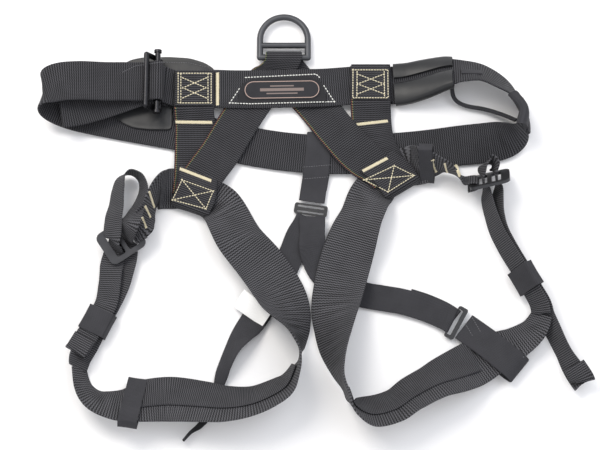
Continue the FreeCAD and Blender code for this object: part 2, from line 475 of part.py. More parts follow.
def bent_line(points):
    """Straight runs through the points, with the largest round bend that fits at each inner one."""
    points = [Vector(*p) for p in points]
    pieces = []
    start = points[0]
    for before, corner, after in zip(points, points[1:], points[2:]):
        back = (before - corner).normalize()
        ahead = (after - corner).normalize()
        half = back.getAngle(ahead) / 2
        reach = BEND_SHARE * min((before - corner).Length, (after - corner).Length)
        radius = reach * math.tan(half)
        print(f"cord bend radius {radius:.1f} mm")
        middle = (back + ahead).normalize()
        top = corner + middle * (radius / math.sin(half) - radius)
        pieces.append(Part.LineSegment(start, corner + back * reach).toShape())
        pieces.append(Part.Arc(corner + back * reach, top, corner + ahead * reach).toShape())
        start = corner + ahead * reach
    pieces.append(Part.LineSegment(start, points[-1]).toShape())
    return Part.Wire(pieces)


cord_line = bent_line(CORD_BENDS)
first_run = Vector(*CORD_BENDS[1]) - Vector(*CORD_BENDS[0])
cord_end = Part.Wire(Part.makeCircle(CORD_D / 2, Vector(*CORD_BENDS[0]), first_run))
cord = cord_line.makePipeShell([cord_end], True, False)
save("belt_cord", cord)
cord_volume = math.pi * (CORD_D / 2) ** 2 * cord_line.Length
print(f"cord centre line {cord_line.Length:.1f} mm, volume {cord.Volume:.0f} of {cord_volume:.0f} mm3")
# The cord is held by a folded tab on the belt at one end and by a band round the belt at the other.
save("cord_keeper", ribbon(BELT[5:7], 1.2, 9, -WEB_T / 2 - 1.0, 4))
save("cord_band", along_stations(BELT[8:11], lambda width: pad_section(WEB), STEPS))
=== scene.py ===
import bpy
import math
from mathutils import Matrix, Vector
from mathutils.bvhtree import BVHTree


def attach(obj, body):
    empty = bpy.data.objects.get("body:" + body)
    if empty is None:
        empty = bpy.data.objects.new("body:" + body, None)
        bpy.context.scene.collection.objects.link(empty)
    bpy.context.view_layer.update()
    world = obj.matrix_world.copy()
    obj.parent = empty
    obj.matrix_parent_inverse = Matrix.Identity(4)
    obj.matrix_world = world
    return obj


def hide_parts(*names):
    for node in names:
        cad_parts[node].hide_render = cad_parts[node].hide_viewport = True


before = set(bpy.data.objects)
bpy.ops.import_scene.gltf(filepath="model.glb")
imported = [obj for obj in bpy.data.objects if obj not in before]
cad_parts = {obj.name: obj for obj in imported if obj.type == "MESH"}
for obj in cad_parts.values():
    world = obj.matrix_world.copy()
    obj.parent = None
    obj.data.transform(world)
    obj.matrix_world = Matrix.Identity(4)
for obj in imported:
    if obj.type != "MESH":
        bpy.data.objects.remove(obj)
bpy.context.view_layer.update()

# --- camera, table and light ---
# The harness lies on a white table, seen from the leg side at 76 degrees, under a soft window of
# light at the upper left. Everything is placed from one point: the drawing's origin on the table.
CENTRE = Vector((4.0, -4.0, 2.4))       # mm, from the drawing's origin to the frame's
MM = 0.001
EYE = (-16.2, -411.3, 1649.5)           # mm from the drawing's origin: 1.7 m away, 76 degrees up
LENS = 94.44                            # mm
TABLE_HALF = 6.0
eye = (Vector(EYE) + CENTRE) * MM
camera_data = bpy.data.cameras.new("camera")
camera_data.sensor_width = 36.0
camera_data.lens = LENS
camera_data.clip_start = 0.05
camera = bpy.data.objects.new("camera", camera_data)
camera.location = eye
camera.rotation_euler = (math.radians(14.0), 0.0, 0.0)
bpy.context.collection.objects.link(camera)
bpy.context.scene.camera = camera


def linear(hex_colour):
    """A paint chip's hex colour as the shader's linear one."""
    parts = [int(hex_colour[i:i + 2], 16) / 255 for i in (1, 3, 5)]
    return tuple(p / 12.92 if p <= 0.04045 else ((p + 0.055) / 1.055) ** 2.4 for p in parts) + (1.0,)


def new_material(name, **shader_values):
    """A Principled material with constant values set on the shader itself."""
    material = bpy.data.materials.new(name)
    material.use_nodes = True
    shader = material.node_tree.nodes["Principled BSDF"]
    for key, value in shader_values.items():
        shader.inputs[key.replace("_", " ")].default_value = value
    return material, shader


floor_mesh = bpy.data.meshes.new("table")
table_corners = [(TABLE_HALF * x, TABLE_HALF * y, 0) for x, y in ((-1, -1), (1, -1), (1, 1), (-1, 1))]
floor_mesh.from_pydata(table_corners, [], [(0, 1, 2, 3)])
floor = bpy.data.objects.new("table", floor_mesh)
bpy.context.collection.objects.link(floor)
floor_paint, _ = new_material("table_white", Base_Color=linear("#f6f6f7"), Roughness=0.9)
floor_mesh.materials.append(floor_paint)

world = bpy.data.worlds.new("studio")
bpy.context.scene.world = world
world.use_nodes = True
world.node_tree.nodes["Background"].inputs[0].default_value = linear("#fbfbfd")
world.node_tree.nodes["Background"].inputs[1].default_value = 0.95
bpy.context.scene.view_settings.view_transform = "Standard"


def window(name, place, size, power, colour):
    """Square softbox that faces the middle of the harness."""
    data = bpy.data.lights.new(name, "AREA")
    data.size = size
    data.energy = power
    data.color = linear(colour)[:3]
    lamp = bpy.data.objects.new(name, data)
    lamp.location = place
    lamp.rotation_euler = (-Vector(place)).to_track_quat("-Z", "Y").to_euler()
    bpy.context.collection.objects.link(lamp)


window("key", (-0.75, 0.85, 1.7), 0.9, 22.0, "#fffaf2")
window("fill", (0.9, 0.5, 1.9), 1.2, 9.0, "#eef4ff")

# --- waist belt ---
# 44 mm ribbed nylon webbing, woven in one length; it goes from the right riser round the back on
# the table, over the left bend, through the buckle and back inside as the tail.
WEB = 44.0                              # mm, width of the main webbing
WEB_THICK = 2.4
STEPS = 8                               # facets between two stations of a strap


def between(a, b, c, d, t):
    """Catmull-Rom value between b and c."""
    return 0.5 * (2 * b + (c - a) * t + (2 * a - 5 * b + 4 * c - d) * t ** 2
                  + (3 * b - a - 3 * c + d) * t ** 3)


def smooth(stations):
    """The stations with STEPS places to each stretch between two of them."""
    path = []
    last = len(stations) - 1
    for i in range(last):
        around = [stations[max(i - 1, 0)], stations[i], stations[i + 1], stations[min(i + 2, last)]]
        for k in range(STEPS):
            path.append([between(*values, k / STEPS) for values in zip(*around)])
    path.append(list(stations[-1]))
    return path


def direction(turn, tilt):
    """Unit vector at turn degrees from X and tilt degrees up."""
    turn = math.radians(turn)
    tilt = math.radians(tilt)
    return Vector((math.cos(tilt) * math.cos(turn), math.cos(tilt) * math.sin(turn), math.sin(tilt)))


def with_width(width, places):
    """The places (x, y, z, turn, tilt) as stations of one width."""
    return [place + (width,) for place in places]


FOLD = math.radians(50)                 # a bend sharper than this shows as a crease


def new_piece(name, vertices, faces, runs, material, nodes, body="harness", slot="webbing"):
    """A mesh piece from drawing positions; runs holds (across, along) in mm for each vertex."""
    mesh = bpy.data.meshes.new(name)
    mesh.from_pydata([(v + CENTRE) * MM for v in vertices], [], faces)
    layer = mesh.uv_layers.new(name="run")
    for loop in mesh.loops:
        layer.data[loop.index].uv = runs[loop.vertex_index]
    mesh.materials.append(material)
    mesh.set_sharp_from_angle(angle=FOLD)
    piece = bpy.data.objects.new(name, mesh)
    bpy.context.collection.objects.link(piece)
    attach(piece, body)
    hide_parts(*nodes)
    return piece


def ring_faces(rings, count):
    """Quads between one closed ring of count corners and the next."""
    faces = []
    for i in range(rings - 1):
        for j in range(count):
            k = (j + 1) % count
            faces.append((i * count + j, i * count + k, (i + 1) * count + k, (i + 1) * count + j))
    return faces


def swept(stations, outline, square=True):
    """Vertices, faces and runs of a closed section carried along the stations."""
    path = smooth(stations)
    places = [Vector(s[:3]) for s in path]
    vertices, runs = [], []
    along_mm = 0.0
    for i, s in enumerate(path):
        if i:
            along_mm += (places[i] - places[i - 1]).length
        along = (places[min(i + 1, len(path) - 1)] - places[max(i - 1, 0)]).normalized()
        across = direction(s[3], s[4])
        if square:
            across = (across - along * across.dot(along)).normalized()
        face = along.cross(across).normalized()
        for u, v in outline(s[5]):
            vertices.append(places[i] + across * u + face * v)
            runs.append((u, along_mm))
    count = len(outline(path[0][5]))
    faces = ring_faces(len(path), count)
    faces.append(tuple(range(count - 1, -1, -1)))
    faces.append(tuple(range(len(vertices) - count, len(vertices))))
    return vertices, faces, runs


# Each corner of a selvedge: mm in from the edge, and share of the half thickness there.
SELVEDGE = ((0.0, 0.0), (0.35, 0.6), (0.9, 0.86), (2.2, 0.97), (6.0, 1.0))
NARROW = 8.0                            # mm, the half width below which the selvedge is squeezed


def webbing_outline(width, thick, lift=0.0, shift=0.0):
    """Flat section whose selvedges are rounded."""
    half = width / 2
    squeeze = min(1.0, half / NARROW)
    edge = [(half - inset * squeeze, height * thick / 2) for inset, height in SELVEDGE]
    top = edge + [(-u, v) for u, v in reversed(edge)]
    bottom = [(u, -v) for u, v in reversed(top)][1:-1]
    return [(u + shift, v + lift) for u, v in reversed(top + bottom)]


cloth = []                              # every piece that stitches can lie on


def strap(name, stations, thick, material, nodes, width=None, lift=0.0, shift=0.0, square=True,
          slot="webbing"):
    """Webbing along the stations; lift and shift move it off their line, through it and across it."""
    parts = swept(stations, lambda own: webbing_outline(width or own, thick, lift, shift), square)
    piece = new_piece(name, *parts, material, nodes, slot=slot)
    cloth.append(piece)
    return piece


def add(material, kind, inputs=(), **settings):
    """One shader node; each input is a value or another node's output."""
    node = material.node_tree.nodes.new(kind)
    for key, value in settings.items():
        setattr(node, key, value)
    for key, value in dict(inputs).items():
        if isinstance(value, bpy.types.NodeSocket):
            material.node_tree.links.new(value, node.inputs[key])
        else:
            node.inputs[key].default_value = value
    return node.outputs


def connect(material, output, shader, name):
    """Drive one input of the shader from a node's output."""
    material.node_tree.links.new(output, shader.inputs[name])


def calc(material, operation, a, b=0.0):
    """Output of one Math node."""
    return add(material, "ShaderNodeMath", {0: a, 1: b}, operation=operation)[0]


def mix(material, factor, a, b):
    """Output of one colour Mix node."""
    return add(material, "ShaderNodeMix", {0: factor, 6: a, 7: b}, data_type="RGBA")[2]


def webbing(name, dark, light, pitch=2.3, column=1.6, depth=0.3, contrast=1.0, threads=()):
    """Ribbed weave: ribs across the run, broken into columns of warp; threads are coloured warps."""
    material, shader = new_material(name, Roughness=0.75, Specular_IOR_Level=0.16, Sheen_Weight=0.03)
    run = add(material, "ShaderNodeUVMap", uv_map="run")[0]
    axes = add(material, "ShaderNodeSeparateXYZ", {0: run})
    object_place = add(material, "ShaderNodeTexCoord")[3]
    uneven = add(material, "ShaderNodeTexNoise", {"Vector": object_place, "Scale": 55.0, "Detail": 4.0})[0]
    odd = calc(material, "PINGPONG", calc(material, "DIVIDE", axes[0], column), 1.0)
    slant = calc(material, "MULTIPLY", odd, 1.7)
    phase = calc(material, "MULTIPLY", axes[1], 2 * math.pi / pitch)
    wobble = calc(material, "MULTIPLY", uneven, 0.9)
    rib = calc(material, "SINE", calc(material, "ADD", calc(material, "ADD", phase, slant), wobble))
    warp = calc(material, "SINE", calc(material, "MULTIPLY", axes[0], 2 * math.pi / column))
    height = calc(material, "MULTIPLY_ADD", rib, 0.45)
    height.node.inputs[2].default_value = 0.5
    height = calc(material, "ADD", height, calc(material, "MULTIPLY", warp, 0.12))
    # The colour goes from dark in the troughs to light on the rib crests: painted shade and painted highlight
    # over the black weave.
    rib_highlight_and_shade = calc(material, "MULTIPLY", height, contrast)
    colour = mix(material, rib_highlight_and_shade, linear(dark), linear(light))
    patch = calc(material, "MULTIPLY_ADD", uneven, 0.5)
    patch.node.inputs[2].default_value = 0.75
    colour = add(material, "ShaderNodeMix", {0: 1.0, 6: colour, 7: patch}, data_type="RGBA",
                 blend_type="MULTIPLY")[2]
    for place, wide, hex_colour in threads:
        away = calc(material, "ABSOLUTE", calc(material, "SUBTRACT", axes[0], place))
        near = calc(material, "LESS_THAN", away, wide / 2)
        shown = calc(material, "MULTIPLY", near, calc(material, "GREATER_THAN", rib, 0.1))
        colour = mix(material, shown, colour, linear(hex_colour))
    connect(material, colour, shader, "Base Color")
    bump = add(material, "ShaderNodeBump", {"Height": height, "Strength": 1.0, "Distance": depth * MM})[0]
    connect(material, bump, shader, "Normal")
    return material


# Black nylon: matt, with a rib every 2.3 mm that catches the light; the crests are painted lighter as
# highlight.
heavy_webbing = webbing("heavy_webbing", "#030304", "#48484c")
BELT = with_width(WEB, [
    (62, 157, 3.4, -90, 0), (84, 157.5, 3.6, -91, 0), (102, 159, 6.5, -91, 4),
    (120, 162, 12, -92, 10), (140, 166, 18, -94, 22), (160, 168, 22, -96, 38),
    (182, 166, 22, -102, 47), (203, 154, 22, -122, 54), (218, 138, 22.5, -150, 68),
    (226, 119, 23, -185, 78), (225, 102, 22, -225, 70), (212, 93, 17, -257, 48),
    (190, 90, 10, -267, 24), (158, 88, 5, -270, 9), (127, 85, 2.2, -269, 2),
    (94, 82, 1.4, -268, 0), (48, 79, 1.4, -269, 0), (26, 78, 3.3, -269, 0), (-4, 79, 3.3, -270, 0),
    (-40, 83, 1.8, -275, 0), (-79, 90, 1.4, -276, 0), (-118, 100, 1.4, -278, 0),
    (-157, 107, 1.4, -279, 0), (-195, 114, 1.4, -279, 0), (-232, 121, 1.9, -277, 0),
    (-265, 127, 8, -275, 0), (-286, 134, 16, -274, 0), (-294, 140, 26, -273, 0),
    (-290, 146, 34, -272, 0), (-276, 150, 38, -270, 0), (-254, 152, 37, -270, 0),
    (-228, 153, 31, -269, 0), (-208, 154, 28, -269, 0), (-192, 154, 27.4, -269, 0),
    (-185, 154, 28, -269, 0), (-178, 154, 30.6, -269, 0), (-171.3, 154, 32.8, -269, 0),
    (-167.3, 154, 31.1, -269, 0), (-165.6, 154, 27.1, -269, 0), (-167.3, 154, 23.1, -269, 0),
    (-171.5, 153, 21.5, -269, 0), (-178, 152, 21.2, -269, 0), (-192, 150, 19, -269, 0),
    (-212, 144, 16, -270, 0), (-238, 135, 17, -271, 0), (-262, 127, 22, -271, 0),
    (-276, 124, 26, -272, 0),
])
strap("waist_belt_webbing", BELT, WEB_THICK, heavy_webbing, ["waist_belt"])

# --- waist buckle ---
# A frame and a slider of bent and welded round steel, black coated and worn bright where the
# webbing runs over them. The short anchor strap is folded round one bar.
def coated_steel(name, paint, rough, grain, worn):
    """Steel under a dark coat: cloudy, and a little lighter where it is worn."""
    material, shader = new_material(name, Metallic=0.75, Roughness=rough)
    place = add(material, "ShaderNodeTexCoord")[3]
    speck = add(material, "ShaderNodeTexNoise", {"Vector": place, "Scale": 420.0, "Detail": 5.0})[0]
    cloudy = add(material, "ShaderNodeTexNoise", {"Vector": place, "Scale": 60.0, "Detail": 3.0})[0]
    colour = mix(material, calc(material, "MULTIPLY", cloudy, 0.6), linear(paint), linear(worn))
    connect(material, colour, shader, "Base Color")
    dull = calc(material, "MULTIPLY_ADD", cloudy, 0.25)
    dull.node.inputs[2].default_value = rough - 0.1
    connect(material, dull, shader, "Roughness")
    bump = add(material, "ShaderNodeBump", {"Height": speck, "Strength": 0.6, "Distance": grain * MM})[0]
    connect(material, bump, shader, "Normal")
    return material


def finish_node(node, material):
    """Give a carried-over metal or plastic node its finish."""
    mesh = bpy.data.objects[node].data
    mesh.materials.clear()
    mesh.materials.append(material)


# Gloss black for the waist buckle, and a rougher grey for the D-ring.
black_steel = coated_steel("black_steel", "#1a1a1c", 0.24, 0.02, "#3c3c40")
grey_steel = coated_steel("grey_steel", "#3c3d40", 0.42, 0.06, "#66686c")
for node in ("waist_buckle_frame", "waist_buckle_slider"):
    finish_node(node, black_steel)
strap("waist_anchor_webbing", with_width(42.0, [
    (-157, 152, 7.6, -90, 0), (-162, 153, 8, -90, 0), (-170, 154, 9.5, -90, 0),
    (-173.2, 154, 10.9, -90, 0), (-174.5, 154, 14, -90, 0), (-173.2, 154, 17.2, -90, 0),
    (-170, 154, 18.5, -90, 0), (-164, 154, 16.8, -90, 0), (-158, 153, 12.5, -90, 0),
    (-150, 152, 7.5, -90, 0), (-136, 151, 7.5, -90, 0),
    (-114, 151, 7.5, -90, 0),
]), WEB_THICK, heavy_webbing, ["waist_anchor_strap"])

# --- front strap ---
# 44 mm webbing that lies over the tie-in strap. It is sewn down at both ends, under the
# risers.
strap("front_webbing", with_width(WEB, [
    (-152, 151, 10.2, -90, 0), (-130, 151, 10.2, -90, 0), (-110, 151.5, 10.2, -90, 0),
    (-90, 152, 7.2, -90, 0), (-60, 152, 7.2, -90, 0), (-20, 153, 7.2, -90, 0), (10, 154, 6.9, -91, 0),
    (36, 156, 6.8, -91, 0), (60, 158, 6.8, -91, 0), (84, 159, 7.0, -91, 0),
]), WEB_THICK, heavy_webbing, ["front_strap"])

# --- pads ---
# Foam in smooth black vinyl. A flat shaped pad lies behind the buckle, and a sleeve is
# folded round the belt on the right.
def vinyl(name, dark, light, rough):
    material, shader = new_material(name, Roughness=rough, Specular_IOR_Level=0.38)
    place = add(material, "ShaderNodeTexCoord")[3]
    grain = add(material, "ShaderNodeTexVoronoi", {"Vector": place, "Scale": 900.0})[0]
    cloudy = add(material, "ShaderNodeTexNoise", {"Vector": place, "Scale": 30.0, "Detail": 4.0})[0]
    connect(material, mix(material, cloudy, linear(dark), linear(light)), shader, "Base Color")
    bump = add(material, "ShaderNodeBump", {"Height": grain, "Strength": 0.4, "Distance": 0.05 * MM})[0]
    creases = add(material, "ShaderNodeBump", {"Height": cloudy, "Strength": 0.5, "Distance": 0.0015,
                                               "Normal": bump})[0]
    connect(material, creases, shader, "Normal")
    return material


pad_vinyl = vinyl("pad_vinyl", "#17181a", "#2b2c2e", 0.42)
LEFT_PAD = [(-226, 138), (-222, 160), (-214, 180), (-204, 187), (-190, 190), (-160, 190.5),
            (-138, 189), (-122, 184), (-110, 176), (-110, 134), (-156.5, 132), (-156.5, 106),
            (-180, 106), (-198, 108), (-210, 113), (-220, 122)]


CORNER = 5.0                            # mm, how far from its corner a curve starts
CORNER_STEPS = 5


def rounded_corners(points):
    """The outline with a short curve in place of each corner."""
    path = []
    for before, corner, after in zip(points[-1:] + points[:-1], points, points[1:] + points[:1]):
        before, corner, after = Vector(before), Vector(corner), Vector(after)
        start = corner.lerp(before, min(0.4, CORNER / (before - corner).length))
        end = corner.lerp(after, min(0.4, CORNER / (after - corner).length))
        for k in range(CORNER_STEPS):
            t = k / (CORNER_STEPS - 1)
            path.append(start.lerp(corner, t).lerp(corner.lerp(end, t), t))
    return path


def padded_plate(name, outline, low, high, crown, material, nodes, slot):
    """Flat padded plate: rounded rim, and rings that step inwards and rise to a crown."""
    rim = rounded_corners(outline)
    middle = sum(rim, Vector((0, 0))) / len(rim)
    thick = high - low
    rings = [(0.0, low + thick * 0.5), (0.6, low + thick * 0.8), (1.8, high - crown),
             (5.0, high - crown * 0.3), (14.0, high), (30.0, high)]
    vertices, runs = [], []
    for inset, z in rings + [(0.8, low)]:
        for p in rim:
            inward = middle - p
            q = p + inward.normalized() * min(inset, inward.length * 0.85)
            vertices.append(Vector((q.x, q.y, z)))
            runs.append((q.x, q.y))
    count = len(rim)
    faces = ring_faces(len(rings), count)
    low_ring = len(rings) * count
    for j in range(count):
        k = (j + 1) % count
        faces.append((j, low_ring + j, low_ring + k, k))
    faces.append(tuple(range((len(rings) - 1) * count, len(rings) * count)))
    faces.append(tuple(range(low_ring + count - 1, low_ring - 1, -1)))
    piece = new_piece(name, vertices, faces, runs, material, nodes, slot=slot)
    cloth.append(piece)
    return piece


left_pad = padded_plate("left_pad_cover", LEFT_PAD[::-1], 3.2, 6.0, 0.8, pad_vinyl, ["left_pad"],
                        "pad_vinyl")
PAD_SLEEVE = [(88, 158, 4.1, -91, 1), (102, 159, 6.5, -91, 4), (120, 162, 12, -92, 10),
              (140, 166, 18, -94, 22), (151, 167, 20.5, -95, 30)]


def sleeve_section(width):
    """Padded sleeve folded round the belt, open in a groove along its upper face."""
    half = width / 2
    inner = 2.1                         # from the middle of the belt to the inside of the sleeve
    skin = 1.6
    room = half + 0.6
    return [(-7, -inner), (-room, -inner), (-room, inner), (room, inner), (room, -inner),
            (-1, -inner), (-1, -inner - 1.4), (0, -inner - 2.6), (4, -inner - 4.0), (10, -inner - 4.6),
            (half - 1, -inner - 4.6), (half + 2.2, -inner - 2.4), (half + 3, 0), (half + 2.2, inner),
            (half, inner + skin), (-half, inner + skin), (-half - 1.8, inner), (-half - 2.6, -0.6),
            (-half - 1.6, -2.6), (2 - half, -inner - 3), (-9, -inner - 3.0), (-7, -inner - 2.6)]


right_pad = new_piece("right_pad_cover", *swept(with_width(WEB, PAD_SLEEVE), sleeve_section),
                      pad_vinyl, ["right_pad"], slot="pad_vinyl")
cloth.append(right_pad)

# --- risers and their patches ---
# Two 44 mm risers join the front strap to the leg loops. Coloured tracer threads run by
# the left selvedge, and a sewn patch holds each.
tracer_webbing = webbing("tracer_webbing", "#040405", "#46464a", threads=(
    (-20.6, 0.5, "#8c3a32"), (-19.8, 0.4, "#a8985a"), (-19.1, 0.4, "#3d6a4a")))
strap("left_riser_webbing", with_width(WEB, [
    (-132, 170, 12.9, 0, 0), (-132, 150, 12.9, 0, 0), (-132, 134, 12.9, 0, 0),
    (-132, 127.5, 12.5, 0, 0), (-131.5, 119, 8.4, 0, 0), (-131, 109, 4.1, 0, 0),
    (-131, 95, 4.1, 0, 0),
    (-131, 78, 4.1, 0, 0), (-131, 66, 5.2, -4, 0), (-131, 54, 6.8, -14, 0),
    (-132, 42, 6.8, -18, 0), (-133, 32, 6.8, -20, 0),
]), WEB_THICK, tracer_webbing, ["left_riser"])
strap("right_riser_webbing", with_width(WEB, [
    (61, 178, 9.5, 0, 0), (61, 158, 9.5, 0, 0), (61, 142, 9.5, 0, 0),
    (61, 134, 9.1, 0, 0), (61.5, 124, 5.4, 0, 0), (62, 112, 4.7, 0, 0),
    (64, 97, 4.7, 8, 0), (68, 83, 6.0, 20, 0),
    (74, 70, 6.8, 28, 0), (80, 60, 6.8, 31, 0), (84, 53, 6.8, 32, 0),
]), WEB_THICK, tracer_webbing, ["right_riser"])
PATCH_WIDE = 42.0
PATCH_ROWS = (19.8, 10, -10, -19.8)     # mm above the middle of the patch


def patch(name, x, y, z, node):
    """A square of webbing laid flat with its middle at x, y, z."""
    stations = [(x, y + row, z, 0, 0, PATCH_WIDE) for row in PATCH_ROWS]
    return strap(name, stations, WEB_THICK, heavy_webbing, [node])


patch("left_patch_webbing", -132, 150.5, 15.6, "left_riser_patch")
patch("right_patch_webbing", 61, 159, 12.2, "right_riser_patch")

# --- tie-in strap and D-ring ---
# One length of webbing goes from leg loop to leg loop, crosses under the front strap and turns
# round the lower bar of a forged steel D-ring.
RING_X = -34.0
RING_BAR = (189.0, 6.6)                 # y and z of the D-ring's lower bar
ROUND_RING = 5.6                        # from the middle of the bar to the middle of the webbing
RING_WEB = 40.0                         # the webbing is drawn in a little in the ring
bend = [(RING_X, RING_BAR[0] + ROUND_RING * math.cos(math.radians(a)),
         RING_BAR[1] + ROUND_RING * math.sin(math.radians(a)), 0, 0, RING_WEB)
        for a in (90, 60, 30, 0, -30, -60, -90)]
TIE_IN = (with_width(WEB, [
    (-131, 30, 9.5, -21, 0), (-126, 45, 9.5, -24, 0), (-117, 59, 8.8, -28, 0),
    (-103, 80, 6.8, -31, 0), (-90, 103, 6.8, -31, 0), (-77, 126, 4.1, -30, 0),
    (-62, 149, 4.1, -28, 0), (-54, 162, 4.1, -24, 0), (-46, 172.5, 3.8, -14, 0)])
    + [(-40, 178, 6.8, -6, 0, 42), (-35, 184, 11, -1, 0, RING_WEB)] + bend
    + [(-30, 181, 1.6, 8, 0, RING_WEB)] + with_width(WEB, [
        (-25, 170, 1.4, 15, 0), (-12, 151, 1.4, 28, 0), (4, 132, 1.8, 35, 0),
        (17, 113, 6.8, 36, -3), (31, 95, 8.6, 37, -3), (45, 79, 8.4, 36, 0), (60, 65, 8.8, 33, 0),
        (72, 58, 9.5, 32, 0), (82, 50, 9.5, 32, 0),
    ]))
strap("tie_in_webbing", TIE_IN, WEB_THICK, tracer_webbing, ["tie_in_strap"], square=False)
finish_node("d_ring", grey_steel)

# --- label ---
# Dark woven panel sewn on the front strap, under a raised badge with a plain capsule outline.
# Three blank bars stand where words would be.
# A finer and flatter weave than the webbing.
label_cloth = webbing("label_cloth", "#1e1e20", "#343437", pitch=0.8, column=0.8, depth=0.08)
LABEL = [(-86, 134), (14, 136), (8, 160), (-6, 166), (-70, 163.5), (-80, 158)]
padded_plate("label_cover", LABEL[::-1], 8.5, 9.7, 0.2, label_cloth, ["label_panel"], "label")


BADGE_LONG = 84.0
BADGE_WIDE = 22.0
BADGE_TURN = 1.0                        # degrees, as the front strap lies


def capsule(name, low, high, material, nodes, place):
    """Flat plate with half-round ends, the size of the badge."""
    radius = BADGE_WIDE / 2
    straight = BADGE_LONG / 2 - radius
    rim = []
    for end in (1, -1):
        for k in range(13):
            a = math.radians(-90 + 15 * k)
            rim.append((end * (straight + radius * math.cos(a)), end * radius * math.sin(a)))
    turned = Matrix.Rotation(math.radians(BADGE_TURN), 2)
    points = [turned @ Vector(p) + Vector(place) for p in rim]
    vertices = [Vector((p.x, p.y, z)) for z in (low, high) for p in points]
    runs = list(rim) * 2
    count = len(rim)
    faces = [(j, (j + 1) % count, count + (j + 1) % count, count + j) for j in range(count)]
    faces += [tuple(range(count - 1, -1, -1)), tuple(range(count, 2 * count))]
    piece = new_piece(name, vertices, faces, runs, material, nodes, slot="badge")
    piece.data.polygons.foreach_set("use_smooth", [False] * len(piece.data.polygons))
    return piece


LINE_IN = 1.5                           # mm, from the badge's rim to its border line
LINE_HALF = 0.35
BADGE_BARS = ((4.2, 13.0, 0.7), (0.0, 24.0, 1.7), (-4.4, 17.0, 0.7))    # height, half length, half width


def badge_cloth():
    """Dark badge with a thin border line and three blank woven bars."""
    material = webbing("badge_cloth", "#242427", "#38383c", pitch=0.7, column=0.7, depth=0.06)
    shader = material.node_tree.nodes["Principled BSDF"]
    colour = shader.inputs["Base Color"].links[0].from_socket
    run = add(material, "ShaderNodeUVMap", uv_map="run")[0]
    axes = add(material, "ShaderNodeSeparateXYZ", {0: run})
    from_middle = calc(material, "ABSOLUTE", axes[0])
    beyond = calc(material, "SUBTRACT", from_middle, (BADGE_LONG - BADGE_WIDE) / 2)
    past_end = calc(material, "MAXIMUM", beyond, 0.0)
    squared = calc(material, "ADD", calc(material, "POWER", past_end, 2.0),
                   calc(material, "POWER", axes[1], 2.0))
    from_edge = calc(material, "SUBTRACT", BADGE_WIDE / 2, calc(material, "SQRT", squared))
    off_line = calc(material, "ABSOLUTE", calc(material, "SUBTRACT", from_edge, LINE_IN))
    line = calc(material, "LESS_THAN", off_line, LINE_HALF)
    colour = mix(material, line, colour, linear("#b39c92"))
    for place, half_long, half_high in BADGE_BARS:
        off_bar = calc(material, "ABSOLUTE", calc(material, "SUBTRACT", axes[1], place))
        high = calc(material, "LESS_THAN", off_bar, half_high)
        wide = calc(material, "LESS_THAN", from_middle, half_long)
        colour = mix(material, calc(material, "MULTIPLY", high, wide), colour, linear("#7d716d"))
    connect(material, colour, shader, "Base Color")
    return material


capsule("badge_cover", 9.7, 10.5, badge_cloth(), ["label_badge"], (-36, 150.5))

# --- leg buckles ---
# Stamped steel plates with two slots, satin grey from the tumbler. The adjuster strap comes up
# through the inner slot, and its tail goes down through the outer one.
LEFT_BUCKLE = ((-207, -21, 16), 33, 6, 8)
RIGHT_BUCKLE = ((188, 46, 18), 190, -14, 58)
plate_steel = coated_steel("plate_steel", "#3a3a3d", 0.33, 0.03, "#5c5d60")
for node in ("left_leg_buckle", "right_leg_buckle"):
    finish_node(node, plate_steel)


def place_at(origin, x_turn, x_tilt, y_tilt):
    """Matrix with X along (x_turn, x_tilt) and Y a quarter turn on, y_tilt degrees up."""
    x = direction(x_turn, x_tilt)
    y = direction(x_turn + 90, y_tilt)
    y = (y - x * y.dot(x)).normalized()
    z = x.cross(y)
    return Matrix(((x.x, y.x, z.x, origin[0]), (x.y, y.y, z.y, origin[1]), (x.z, y.z, z.z, origin[2]),
                   (0, 0, 0, 1)))


def in_buckle(buckle, x, y, z):
    """A point given in the buckle's own axes, in the drawing's."""
    return tuple(place_at(*buckle) @ Vector((x, y, z)))


# --- leg loops ---
# 44 mm webbing that spreads to 57 mm over the thigh, with a second layer sewn inside the bottom
# of each loop.
STRAP = 25.0                            # mm, width of the adjuster straps
LINING_WIDE = 36.0
LINING_THICK = 2.0
LINING_LIFT = 2.8                       # from the middle of the loop to the middle of the lining
LINING_SHIFT = -9.0


def round_anchor_bar(buckle, turn, tilt):
    """The leg loop's end, narrowed to the strap's width and turned round the buckle's inner bar."""
    turn_back = [(25, -4.3), (19, -4.2), (14.4, -3.3), (13.1, 0), (14.4, 3.3), (19, 4.4), (27, 5.4)]
    return [(*in_buckle(buckle, x, 0, z), turn, tilt, STRAP) for x, z in turn_back]


LEFT_LEG = round_anchor_bar(LEFT_BUCKLE, -57, -8) + [
    (-181, 3, 23, -56, -42, 30), (-178, 12, 23, -58, -70, 38), (-174, 23, 23.6, -70, -76, 44),
    (-168, 32, 20, -84, -58, 44), (-161, 37.5, 9.5, -100, -22, 44), (-151, 39.5, 4.1, -110, 0, 44),
    (-145, 39, 4.1, -110, 0, 44), (-128, 34, 4.1, -110, 0, 44), (-111, 27, 4.1, -110, 0, 44),
    (-98, 14, 9, -114, 15, 48), (-81, -18, 13.5, -118, 21, 55), (-58, -46, 11.5, -126, 15, 55),
    (-38, -76, 13, -130, 20, 55), (-24, -109, 24, -134, 50, 55), (-18, -132, 29.5, -128, 76, 56),
    (-16, -145, 30, -90, 84, 57), (-19, -158, 29.4, -76, 74, 57), (-29, -176, 27, -72, 62, 57),
    (-46, -187, 26, -79, 56, 57), (-68, -195, 25, -84, 52, 57), (-94, -197, 22.6, -86, 44, 57),
    (-120, -194, 20, -88, 36, 57), (-153, -191, 17, -90, 29, 57), (-182, -194, 17.5, -91, 31, 52),
    (-205, -197, 16.5, -93, 37, 44), (-228, -192, 16, -108, 46, 36), (-242, -178, 13.5, -132, 55, 29),
    (-248, -157, 11, -160, 62, 25),
]
